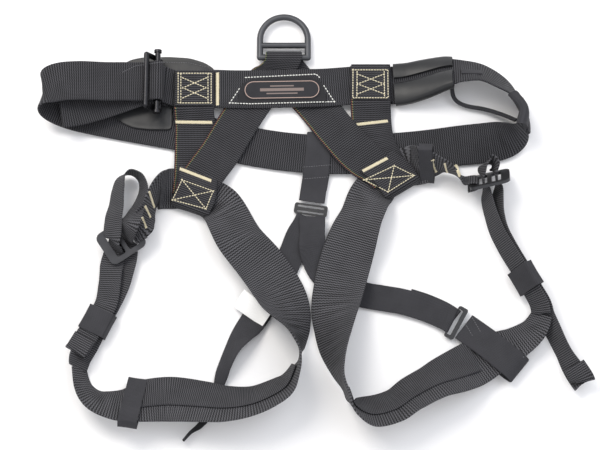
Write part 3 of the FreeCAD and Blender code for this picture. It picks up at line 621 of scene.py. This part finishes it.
RIGHT_LEG = round_anchor_bar(RIGHT_BUCKLE, -101, -125) + [
    (153, 51, 18, -96, -104, 33), (142, 57, 22, -91, -90, 41), (131, 60, 22.5, -86, -76, 44),
    (120, 62.5, 20.2, -79, -54, 44), (112, 64, 12.8, -72, -20, 44), (106, 65, 6.4, -66, 7, 44),
    (101, 64.5, 4.2, -60, 0, 44), (84, 55.8, 4.2, -58, 0, 44), (70, 46, 4.2, -52, 0, 44),
    (66, 40, 4.8, -47, 3, 45), (58, 27, 11, -33, 19, 49), (51, 10, 14.5, -20, 27, 52),
    (43, -9, 15.5, -15, 24, 56),
    (35, -34, 12.5, -13, 12, 56), (28, -60, 11.5, -9, 12, 56), (22, -87, 15, -9, 22, 56),
    (20, -112, 22, -12, 42, 56), (20, -138, 27, -8, 60, 57), (24, -162, 29.5, -10, 78, 57),
    (31, -182, 30.5, -45, 88, 57), (39, -199, 29, -82, 72, 57), (58, -205, 24, -88, 52, 57),
    (82, -199, 23, -80, 48, 57), (101, -186, 23, -73, 46, 57), (125, -173, 22.5, -76, 44, 57),
    (148, -163, 16, -75, 30, 52), (170, -153, 8.5, -72, 14, 46), (190, -140, 7.4, -68, 12, 44),
    (212, -130, 8.5, -60, 20, 38), (230, -117, 9.5, -45, 28, 32), (240, -100, 10, -18, 40, 27),
]
# A slightly wider rib than the belt, and a closer one for the lining.
thigh_webbing = webbing("thigh_webbing", "#060607", "#5a5a5e", pitch=2.5, column=2.0)
lining = webbing("lining_webbing", "#0a0a0b", "#525256", pitch=2.0, column=1.4)
strap("left_leg_webbing", LEFT_LEG, WEB_THICK, thigh_webbing, ["left_leg_loop"])
strap("right_leg_webbing", RIGHT_LEG, WEB_THICK, thigh_webbing, ["right_leg_loop"])
strap("left_leg_lining", LEFT_LEG[23:31], LINING_THICK, lining, ["left_leg_pad"], LINING_WIDE,
      LINING_LIFT, LINING_SHIFT)
strap("right_leg_lining", RIGHT_LEG[26:34], LINING_THICK, lining, ["right_leg_pad"], LINING_WIDE,
      -LINING_LIFT, LINING_SHIFT)

# --- leg wraps ---
# Short webbing folded round each leg loop, over the ends of the riser and the tie-in strap. One
# crossed box of stitches holds the whole stack together.
WRAP_TOP = 12.2                         # mm, the height of the upper layer


def leg_wrap(name, edge, turn, top, node):
    """Webbing from the place top to the fold at edge, round it and back underneath."""
    inward = direction(turn + 90, 0)
    round_fold = [(WEB / 2, WRAP_TOP), (6.6, WRAP_TOP), (2.8, 10.6), (1.2, 6.8), (2.8, 3.0), (6.6, 1.4),
                  (14, 1.4)]
    stations = [(*top, WRAP_TOP, turn, 0, WEB)]
    stations += [(edge[0] + inward.x * d, edge[1] + inward.y * d, z, turn, 0, WEB) for d, z in round_fold]
    return strap(name, stations, WEB_THICK, heavy_webbing, [node], square=False)


leg_wrap("left_wrap_webbing", (-135.5, 13), -20.4, (-126, 55), "left_leg_wrap")
leg_wrap("right_wrap_webbing", (96, 35.5), 31.7, (67, 68), "right_leg_wrap")

# --- adjuster straps and keepers ---
# 25 mm webbing from each band end, through an elastic keeper and the buckle, and back as the tail.
# The keeper is a sewn sleeve round both layers.
STRAP_THICK = 2.0
SLOT_WEB = 21.0                         # mm, width of the strap in a slot
LEFT_STRAP = with_width(STRAP, [
    (-249, -158, 13.5, 17, -50), (-247, -145, 10, 5, -30), (-240, -130, 6.4, -15, -6),
    (-230, -108, 4.4, -27, 8), (-219, -88, 4, -22, 10), (-210, -68, 4, -12, 12),
    (-205, -50, 4.2, -8, 14), (-202.5, -38, 4.8, -12, 12)]) + [
    (*in_buckle(LEFT_BUCKLE, 3.5, -6, -7), -30, 4, 23),
    (*in_buckle(LEFT_BUCKLE, 6.8, -0.5, -1), -46, 4, SLOT_WEB),
    (*in_buckle(LEFT_BUCKLE, 8, 1.2, 5), -44, 10, SLOT_WEB)] + with_width(STRAP, [
    (-196.5, -7.5, 34, -28, 28), (-192, 6, 29, -18, 44), (-187, 21, 23, -14, 56), (-185, 36, 18, -10, 64),
    (-189, 49, 15.5, 0, 74), (-199, 54.5, 16, -8, 80), (-209, 48, 16, -20, 62), (-212, 35, 17, -20, 52),
    (-213, 18, 20, -22, 46), (-215, 1, 24, -28, 36)]) + [
    (*in_buckle(LEFT_BUCKLE, -5.5, 7, 7), -40, 20, 24),
    (*in_buckle(LEFT_BUCKLE, -7.3, 0.8, 0.5), -50, -4, 20),
    (*in_buckle(LEFT_BUCKLE, -13, -6, -6.0), -44, -6, 23)] + with_width(STRAP, [
    (-217, -44, 7.2, -28, 4), (-218, -54, 9.2, -14, 12),
    (-219, -68, 9.0, -10, 12), (-222, -88, 8.8, -20, 11), (-231.5, -107, 9, -28, 9),
    (-241, -123, 11, -31, 10), (-249, -137, 14, -32, 12), (-251.5, -141, 16.4, -32, 12),
    (-249, -137, 18.6, -32, 12), (-242, -125, 18, -32, 12),
])
RIGHT_STRAP = with_width(STRAP, [
    (238.5, -99.5, 12.4, -18, 42), (236.5, -89, 14.4, 4, 46), (228.5, -74.5, 17.4, 18, 52),
    (215.5, -51, 17.8, 14, 54), (204, -31, 17.5, 6, 54), (194, -11, 17.5, -5, 58), (188, 9, 16, -14, 64),
    (184.8, 25, 14, -40, 62)]) + [
    (*in_buckle(RIGHT_BUCKLE, 7, 0, -8), -76, 58, 23),
    (*in_buckle(RIGHT_BUCKLE, 7, 0, 0), -92, 56, SLOT_WEB),
    (*in_buckle(RIGHT_BUCKLE, 7, 0, 8), -70, 62, 23)] + with_width(STRAP, [
    (181, 60, 23, -30, 74), (188.5, 65.5, 22, 0, 82), (192.5, 61, 24, -20, 70)]) + [
    (*in_buckle(RIGHT_BUCKLE, -7.3, 0, 8), -70, 62, 23),
    (*in_buckle(RIGHT_BUCKLE, -7.3, 0, 0), -92, 56, SLOT_WEB),
    (*in_buckle(RIGHT_BUCKLE, -7.3, 0, -8), -76, 58, 23)] + with_width(STRAP, [
    (196, 26, 15.5, -40, 62), (195.5, 10, 14.5, -14, 62), (198.5, -9, 15, -5, 58),
    (207.5, -30, 15, 6, 54), (218.5, -50, 15, 14, 54), (231.5, -74, 14.8, 20, 52),
    (239.5, -88, 11.6, 6, 46), (243.5, -101, 9, -15, 42), (250, -116, 11, -8, 52), (260, -140, 13.5, 8, 58),
    (269, -157, 13, 26, 42), (277, -169, 12.5, 30, 30), (279.5, -172.5, 15, 30, 28),
    (277.5, -168, 18, 30, 28), (270, -156, 19, 28, 32),
])
narrow_webbing = webbing("narrow_webbing", "#050506", "#56565a", pitch=2.2, column=1.5, depth=0.28)
strap("left_adjuster_webbing", LEFT_STRAP, STRAP_THICK, narrow_webbing, ["left_adjuster_strap"],
      slot="strap_webbing")
strap("right_adjuster_webbing", RIGHT_STRAP, STRAP_THICK, narrow_webbing, ["right_adjuster_strap"],
      slot="strap_webbing")
# Finer and flatter than the webbing.
elastic = webbing("elastic_web", "#232326", "#47474b", pitch=1.1, column=1.1, depth=0.1, contrast=0.9)


WAIST_IN = 0.6                          # mm, how much narrower a sleeve is at its middle
TUBE_RINGS = 8


def tube(name, place, width, height, length, wall, node, body="harness"):
    """Sewn sleeve of elastic round flat webbing, rounded and slightly waisted, its length along Y."""
    def ring(w, h, y, inset):
        """Rounded box section at y; the inner skin's corners are inset."""
        radius = min(1.6, h / 2 - 0.1) - inset
        corners = []
        for cx, cy, start in ((1, 1, 0), (-1, 1, 90), (-1, -1, 180), (1, -1, 270)):
            for k in range(5):
                a = math.radians(start + 22.5 * k)
                corners.append(Vector((cx * (w / 2 - radius) + radius * math.cos(a), y,
                                       cy * (h / 2 - radius) + radius * math.sin(a))))
        return corners

    rings = []
    for k in range(TUBE_RINGS + 1):
        y = (k / TUBE_RINGS - 0.5) * length
        waist = WAIST_IN * (1 - (2 * k / TUBE_RINGS - 1) ** 2)
        rings.append(ring(width - waist, height - waist * 0.6, y, 0))
    for k in range(TUBE_RINGS, -1, -1):
        y = (k / TUBE_RINGS - 0.5) * length
        rings.append(ring(width - 2 * wall, height - 2 * wall, y * 0.99, 0.3))
    vertices, faces, runs = [], [], []
    for r in rings:
        for p in r:
            vertices.append(place @ p)
            runs.append((p.x + p.z * 0.5, p.y))
    count = len(rings[0])
    for i in range(len(rings)):
        n = (i + 1) % len(rings)
        for j in range(count):
            k = (j + 1) % count
            faces.append((i * count + j, n * count + j, n * count + k, i * count + k))
    piece = new_piece(name, vertices, faces, runs, elastic, [node], body=body, slot="elastic")
    cloth.append(piece)
    return piece


tube("left_keeper_sleeve", place_at((-230.6, -107.5, 7.0), -26.8, 9, 0), 30.4, 13.2, 27, 1.2, "left_keeper",
     "left_keeper_body")
tube("right_keeper_sleeve", place_at((223, -62.3, 16.4), 28.7, 53.5, 0), 30.4, 12.0, 27, 1.2, "right_keeper",
     "right_keeper_body")

# --- rear riser, elastics and their slides ---
# 28 mm soft elastic: a riser is looped round the back belt, and one run goes to each leg loop.
# Plastic slides sit on the riser and on the right run.
ELASTIC = 28.0
ELASTIC_THICK = 1.6
REAR_RISER = with_width(ELASTIC, [
    (-1, 40, 1.1, -5, 0), (2, 58, 1.1, -5, 0), (5, 78, 1.1, -4, 0), (5.5, 97, 1.1, -2, 0),
    (5.5, 102, 1.6, 0, 0), (5.5, 103.4, 3.3, 0, 0), (5.5, 102, 5.0, 0, 0), (5, 97, 5.6, 0, 0),
    (3.5, 78, 5.6, -4, 0), (1.5, 60, 5.6, -5, 0), (0.5, 52, 5, -6, 0), (-1, 42, 3.2, -7, 0),
    (-3.5, 25, 3.0, -7, 0),
])
strap("rear_riser_web", REAR_RISER, ELASTIC_THICK, elastic, ["rear_riser"], slot="elastic")
strap("left_elastic_web", [
    (-6.5, 7.5, 2.2, -8, 0, 28), (-11, -2, 3.8, -20, 4, 28), (-18, -14, 3.2, -28, 2, 28),
    (-25, -32, 1.1, -30, 0, 28), (-36, -56, 1.1, -36, 0, 28), (-50, -80, 1.1, -42, 0, 28),
    (-66, -106, 2.2, -42, 6, 28), (-78, -122, 6.5, -34, 26, 26), (-88, -138, 9, -22, 42, 23),
    (-96, -156, 6, -8, 36, 18), (-101, -172, 1.6, -5, 4, 12), (-105, -188, 1.1, -10, 0, 9),
    (-111, -204, 1.1, -20, 0, 8), (-121, -217, 3, -30, 30, 8), (-130, -224, 5, -35, 60, 8),
    (-138, -233, 5, -35, 70, 8),
], ELASTIC_THICK, elastic, ["left_elastic"], slot="elastic")
strap("right_elastic_web", with_width(ELASTIC, [
    (-3, 8, 5.0, -4, 2), (-3, -3, 8.4, -6, 10), (-3, -13, 8.4, -4, 12), (-3, -28, 5.2, 0, -4),
    (2, -44, 1.6, 12, 0), (11, -57, 1.1, 32, 0), (28, -69, 1.1, 60, 0), (51, -77, 1.1, 73, 0),
    (72, -81, 2.0, 76, 0),
    (93, -85, 3.2, 76, 0), (116, -92, 3.2, 71, 0), (136, -100.5, 3.6, 64, 0), (144, -105, 4.6, 61, 0),
    (146, -106, 3.2, 61, 0), (144, -104, 1.5, 61, 0), (134, -97.5, 1.1, 64, 0), (116, -89.5, 1.1, 71, 0),
    (99, -84, 1.1, 75, 0),
]), ELASTIC_THICK, elastic, ["right_elastic"], slot="elastic")
strap("right_band_tab_web", with_width(31.0, [
    (157.5, -112, 3.6, 60, 0), (166, -119, 7.4, 54, 0), (182, -132, 12, 51, 0), (198, -146, 15, 50, 0),
    (208, -154.5, 15, 50, 0), (213.5, -159, 11, 50, 0), (214.5, -160, 7, 50, 0), (212, -158, 3, 50, 0),
    (206, -153, 1.1, 50, 0), (192, -141, 1.1, 50, 0), (176, -127, 1.1, 51, 0),
]), ELASTIC_THICK, elastic, ["right_band_tab"], slot="elastic")
slide_plastic = vinyl("slide_plastic", "#202022", "#2c2c2e", 0.35)
for node in ("rear_slide", "right_elastic_slide"):
    finish_node(node, slide_plastic)
tube("left_band_sleeve", place_at((-190, -195, 19.2), -98, 33, 0), 60, 12, 20, 1.6, "left_band_wrap")
tube("right_loop_sleeve", place_at((120, 62.5, 22.5), -79, -58, 31), 50, 11, 15, 1.6, "right_loop_band")

# --- blank tag ---
# White synthetic care tag with nothing printed on it. It hangs from the seam of the left elastic,
# under the left leg loop.
TAG_LONG = 38.0
TAG_WIDE = 22.0
TAG_STEPS = 6
TAG_WAVE = 0.9                          # mm, height of the tag's slow wave
tag_cloth, tag_shader = new_material("tag_cloth", Roughness=0.55)
tag_place = add(tag_cloth, "ShaderNodeTexCoord")[3]
tag_noise = add(tag_cloth, "ShaderNodeTexNoise", {"Vector": tag_place, "Scale": 700.0, "Detail": 2.0})[0]
connect(tag_cloth, mix(tag_cloth, tag_noise, linear("#e9e9e7"), linear("#f7f7f6")), tag_shader, "Base Color")
tag_bump = add(tag_cloth, "ShaderNodeBump", {"Height": tag_noise, "Strength": 0.3, "Distance": 0.05 * MM})[0]
connect(tag_cloth, tag_bump, tag_shader, "Normal")
tag_matrix = place_at((-66, -93, 8), -36, 0, 22)
tag_stations = []
for k in range(TAG_STEPS + 1):
    x = TAG_LONG * (k / TAG_STEPS - 0.5)
    middle = tag_matrix @ Vector((x, 0, TAG_WAVE * math.sin(k * 0.9)))
    tag_stations.append((*middle, 54, 22, TAG_WIDE))
tag = new_piece("tag_sheet", *swept(tag_stations, lambda own: webbing_outline(own, 0.6)), tag_cloth,
                ["blank_tag"], slot="tag")

# --- flat cord ---
# Flat elastic cord, 5 mm wide, from the tab on the belt, down to the table and up to the band at
# the bend. Both of its ends are held.
CORD_BENDS = [(152, 160.5, 18.3), (148.5, 149, 12), (157, 134.5, 4), (196, 129, 4), (219, 114, 14)]
guide_data = bpy.data.curves.new("cord_guide", "CURVE")
guide_data.dimensions = "3D"
guide_line = guide_data.splines.new("NURBS")
guide_line.points.add(len(CORD_BENDS) - 1)
for point, bend_place in zip(guide_line.points, CORD_BENDS):
    point.co = (*((Vector(bend_place) + CENTRE) * MM), 1.0)
guide_line.order_u = 3
guide_line.use_endpoint_u = True
guide_line.resolution_u = 12
guide = bpy.data.objects.new("cord_guide", guide_data)
guide_mesh = bpy.data.meshes.new_from_object(guide)
cord_path = [v.co.copy() for v in guide_mesh.vertices]
bpy.data.objects.remove(guide)
CORD_HALF = (2.5, 1.8)                  # mm, half the cord's width and half its thickness
CORD_LEAN = Vector((0.25, 0.15, 1))     # the way its flat face looks
CORD_SIDES = 12
cord_mm = [p / MM - CENTRE for p in cord_path]
vertices, runs = [], []
along_mm = 0.0
for i, p in enumerate(cord_mm):
    ahead = (cord_mm[min(i + 1, len(cord_mm) - 1)] - cord_mm[max(i - 1, 0)]).normalized()
    side = ahead.cross(CORD_LEAN).normalized()
    up = side.cross(ahead)
    along_mm += (p - cord_mm[i - 1]).length if i else 0
    for k in range(CORD_SIDES):
        a = math.radians(360 / CORD_SIDES * k)
        vertices.append(p + side * CORD_HALF[0] * math.cos(a) + up * CORD_HALF[1] * math.sin(a))
        runs.append((CORD_HALF[0] * math.cos(a), along_mm))
faces = ring_faces(len(cord_mm), CORD_SIDES)
faces.append(tuple(range(CORD_SIDES - 1, -1, -1)))
faces.append(tuple(range(len(vertices) - CORD_SIDES, len(vertices))))
cord = new_piece("belt_cord_flat", vertices, faces, runs, elastic, ["belt_cord"], slot="elastic")
strap("cord_keeper_tab", BELT[5:7], 1.2, elastic, ["cord_keeper"], 9.0, -2.2, 4.0, slot="elastic")
band = new_piece("cord_band_cover", *swept(BELT[8:11], lambda own: sleeve_section(WEB)), elastic, ["cord_band"],
                 slot="elastic")
cloth.append(band)

# --- stitching ---
# Heavy thread in cream, white and grey. Running rows and crossed boxes hold the stacks of
# webbing, and dense bar tacks hold what is pulled hardest.
def stitch_tree():
    """Threads laid at an even pitch along a line, each along the line or along a given direction."""
    tree = bpy.data.node_groups.new("stitch_row", "GeometryNodeTree")
    face = tree.interface
    face.new_socket("Geometry", in_out="INPUT", socket_type="NodeSocketGeometry")
    for name in ("Pitch", "Thread length", "Thread thickness", "Follow"):
        face.new_socket(name, in_out="INPUT", socket_type="NodeSocketFloat")
    face.new_socket("Direction", in_out="INPUT", socket_type="NodeSocketVector")
    face.new_socket("Seed", in_out="INPUT", socket_type="NodeSocketInt")
    face.new_socket("Thread", in_out="INPUT", socket_type="NodeSocketMaterial")
    face.new_socket("Geometry", in_out="OUTPUT", socket_type="NodeSocketGeometry")
    nodes, links = tree.nodes, tree.links
    given = nodes.new("NodeGroupInput")
    curve = nodes.new("GeometryNodeMeshToCurve")
    spaced = nodes.new("GeometryNodeResampleCurve")
    spaced.mode = "LENGTH"
    tangent = nodes.new("GeometryNodeInputTangent")
    follow = nodes.new("ShaderNodeVectorMath")
    follow.operation = "SCALE"
    total = nodes.new("ShaderNodeVectorMath")
    total.operation = "ADD"
    align = nodes.new("FunctionNodeAlignRotationToVector")
    align.axis = "X"
    thread = nodes.new("GeometryNodeMeshIcoSphere")
    thread.inputs["Radius"].default_value = 0.5
    thread.inputs["Subdivisions"].default_value = 2
    uneven = nodes.new("FunctionNodeRandomValue")
    uneven.data_type = "FLOAT"
    uneven.inputs[2].default_value = 0.9
    uneven.inputs[3].default_value = 1.08
    long = nodes.new("ShaderNodeMath")
    long.operation = "MULTIPLY"
    size = nodes.new("ShaderNodeCombineXYZ")
    lay = nodes.new("GeometryNodeInstanceOnPoints")
    whole = nodes.new("GeometryNodeRealizeInstances")
    paint = nodes.new("GeometryNodeSetMaterial")
    out = nodes.new("NodeGroupOutput")
    links.new(given.outputs["Geometry"], curve.inputs[0])
    links.new(curve.outputs[0], spaced.inputs["Curve"])
    links.new(given.outputs["Pitch"], spaced.inputs["Length"])
    links.new(tangent.outputs[0], follow.inputs[0])
    links.new(given.outputs["Follow"], follow.inputs["Scale"])
    links.new(follow.outputs[0], total.inputs[0])
    links.new(given.outputs["Direction"], total.inputs[1])
    links.new(total.outputs[0], align.inputs["Vector"])
    links.new(given.outputs["Seed"], uneven.inputs["Seed"])
    links.new(given.outputs["Thread length"], long.inputs[0])
    links.new(uneven.outputs[1], long.inputs[1])
    links.new(long.outputs[0], size.inputs[0])
    links.new(given.outputs["Thread thickness"], size.inputs[1])
    links.new(given.outputs["Thread thickness"], size.inputs[2])
    links.new(spaced.outputs[0], lay.inputs["Points"])
    links.new(thread.outputs["Mesh"], lay.inputs["Instance"])
    links.new(align.outputs[0], lay.inputs["Rotation"])
    links.new(size.outputs[0], lay.inputs["Scale"])
    links.new(lay.outputs[0], whole.inputs[0])
    links.new(whole.outputs[0], paint.inputs["Geometry"])
    links.new(given.outputs["Thread"], paint.inputs["Material"])
    links.new(paint.outputs[0], out.inputs[0])
    return tree


stitch_row = stitch_tree()
triangles, corners = [], []
for piece in cloth:
    base = len(corners)
    corners += [v.co.copy() for v in piece.data.vertices]
    triangles += [[base + i for i in polygon.vertices] for polygon in piece.data.polygons]
cloth_surface = BVHTree.FromPolygons(corners, triangles)


def chalked(points, step=1.5, lift=0.1):
    """Marks (x, y) seen on the table, joined by straight chalk lines and lifted onto the cloth."""
    marks = []
    for (ax, ay), (bx, by) in zip(points, points[1:]):
        pieces = max(1, round(math.hypot(bx - ax, by - ay) / step))
        marks += [(ax + (bx - ax) * k / pieces, ay + (by - ay) * k / pieces) for k in range(pieces)]
    marks.append(points[-1])
    line = []
    for x, y in marks:
        sight = ((Vector((x, y, 0)) + CENTRE) * MM - eye).normalized()
        place = cloth_surface.ray_cast(eye, sight)[0]
        if place:
            line.append(place - sight * lift * MM)
    return line


def sew(name, lines, thread, pitch, length, thick, across=None):
    """Run the stitch tree over chalk lines and keep its result as one mesh piece."""
    points, edges = [], []
    for line in lines:
        base = len(points)
        points += line
        edges += [(base + k, base + k + 1) for k in range(len(line) - 1)]
    mesh = bpy.data.meshes.new(name)
    mesh.from_pydata(points, edges, [])
    piece = bpy.data.objects.new(name, mesh)
    bpy.context.collection.objects.link(piece)
    modifier = piece.modifiers.new("stitches", "NODES")
    modifier.node_group = stitch_row
    values = {"Pitch": pitch * MM, "Thread length": length * MM, "Thread thickness": thick * MM,
              "Follow": 0.0 if across else 1.0, "Direction": across or (0.0, 0.0, 0.0), "Seed": 7,
              "Thread": thread}
    for item in stitch_row.interface.items_tree:
        if item.in_out == "INPUT" and item.name in values:
            modifier[item.identifier] = values[item.name]
    bpy.context.view_layer.update()
    graph = bpy.context.evaluated_depsgraph_get()
    finished = bpy.data.meshes.new_from_object(piece.evaluated_get(graph))
    piece.modifiers.remove(modifier)
    piece.data = finished
    finished.polygons.foreach_set("use_smooth", [True] * len(finished.polygons))
    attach(piece, "harness")


def thread_material(name, dark, light):
    material, shader = new_material(name, Roughness=0.6, Sheen_Weight=0.2)
    place = add(material, "ShaderNodeTexCoord")[3]
    twist = add(material, "ShaderNodeTexNoise", {"Vector": place, "Scale": 1500.0, "Detail": 2.0})[0]
    connect(material, mix(material, twist, linear(dark), linear(light)), shader, "Base Color")
    bump = add(material, "ShaderNodeBump", {"Height": twist, "Strength": 0.5, "Distance": 0.08 * MM})[0]
    connect(material, bump, shader, "Normal")
    return material


cream_thread = thread_material("cream_thread", "#b9ad8a", "#efe7cd")
white_thread = thread_material("white_thread", "#bdbdb8", "#f2f2ee")
grey_thread = thread_material("grey_thread", "#4c4c50", "#77777b")
BOXES = [
    [(-151, 173), (-114.5, 173), (-114, 138.5), (-150.5, 138.5), (-151, 173)],
    [(-148, 172), (-147.5, 139)], [(-118, 172), (-117.5, 139)],
    [(-145.5, 167.5), (-120, 156), (-145, 144.5)], [(-120, 167.5), (-145.5, 156), (-120, 144.5)],
    [(42.5, 177), (81, 177), (81, 144.5), (42, 144.5), (42.5, 177)],
    [(47, 174.5), (46.5, 147)], [(77, 174.5), (77, 147)],
    [(47.5, 172), (76.5, 160.5), (47.5, 149)], [(76.5, 172), (47.5, 160.5), (76.5, 149)],
    [(-144.5, 50.5), (-110.5, 38), (-118, 18), (-154.5, 28), (-144.5, 50.5)],
    [(-144.5, 50.5), (-118, 18)], [(-110.5, 38), (-154.5, 28)],
    [(53.5, 50.5), (86.5, 66.5), (108, 55.5), (79.5, 37), (53.5, 50.5)],
    [(53.5, 50.5), (108, 55.5)], [(86.5, 66.5), (79.5, 37)]]
sew("box_stitches", [chalked(b) for b in BOXES], cream_thread, 3.0, 2.8, 1.15)
LABEL_ROWS = [[(-76, 168), (1.5, 172), (5, 168.5)], [(-83.5, 154.5), (-93.5, 138.5)],
              [(10.5, 158), (21.5, 140)],
              [(-93.5, 138.5), (-71.5, 137.5), (21.5, 140)]]
sew("label_stitches", [chalked(b) for b in LABEL_ROWS], white_thread, 3.2, 2.8, 1.35)
DARK_ROWS = [[(-13, 65), (17.5, 67.5)], [(-15, 51.5), (15.5, 54)], [(156, -102), (166.5, -120.5)],
             [(165, -97.5), (175, -116)],
             [(-212, 174.5), (-199, 181.5), (-171.5, 186), (-138, 185), (-121.5, 180.5)]]
sew("dark_stitches", [chalked(b) for b in DARK_ROWS], grey_thread, 2.6, 2.1, 0.6)
TACKS = [[(-107.5, 173.5), (-107, 136)], [(-152.5, 116.5), (-113, 116)], [(46.5, 113.5), (80, 117.5)],
         [(-147, 63), (-113, 49.5)], [(52.5, 60.5), (79, 75)], [(-180.5, 37), (-174.5, 19)],
         [(-184.5, 21), (-178.5, 8)], [(-187.5, 8), (-182.5, -3.5)], [(128.5, 73), (132.5, 59.5)],
         [(142, 69.5), (145.5, 57)], [(153.5, 67.5), (158, 54.5)]]
TACK_SLANT = 0.18                       # how far each thread of a bar tack leans along it
for number, tack in enumerate(TACKS, 1):
    line = chalked(tack, 1.0, 0.2)
    run = (line[-1] - line[0]).normalized()
    slant = run.cross((eye - line[0]).normalized()) + run * TACK_SLANT
    sew(f"bar_tack_{number:02d}", [line], cream_thread, 0.62, 4.2, 0.75, tuple(slant.normalized()))
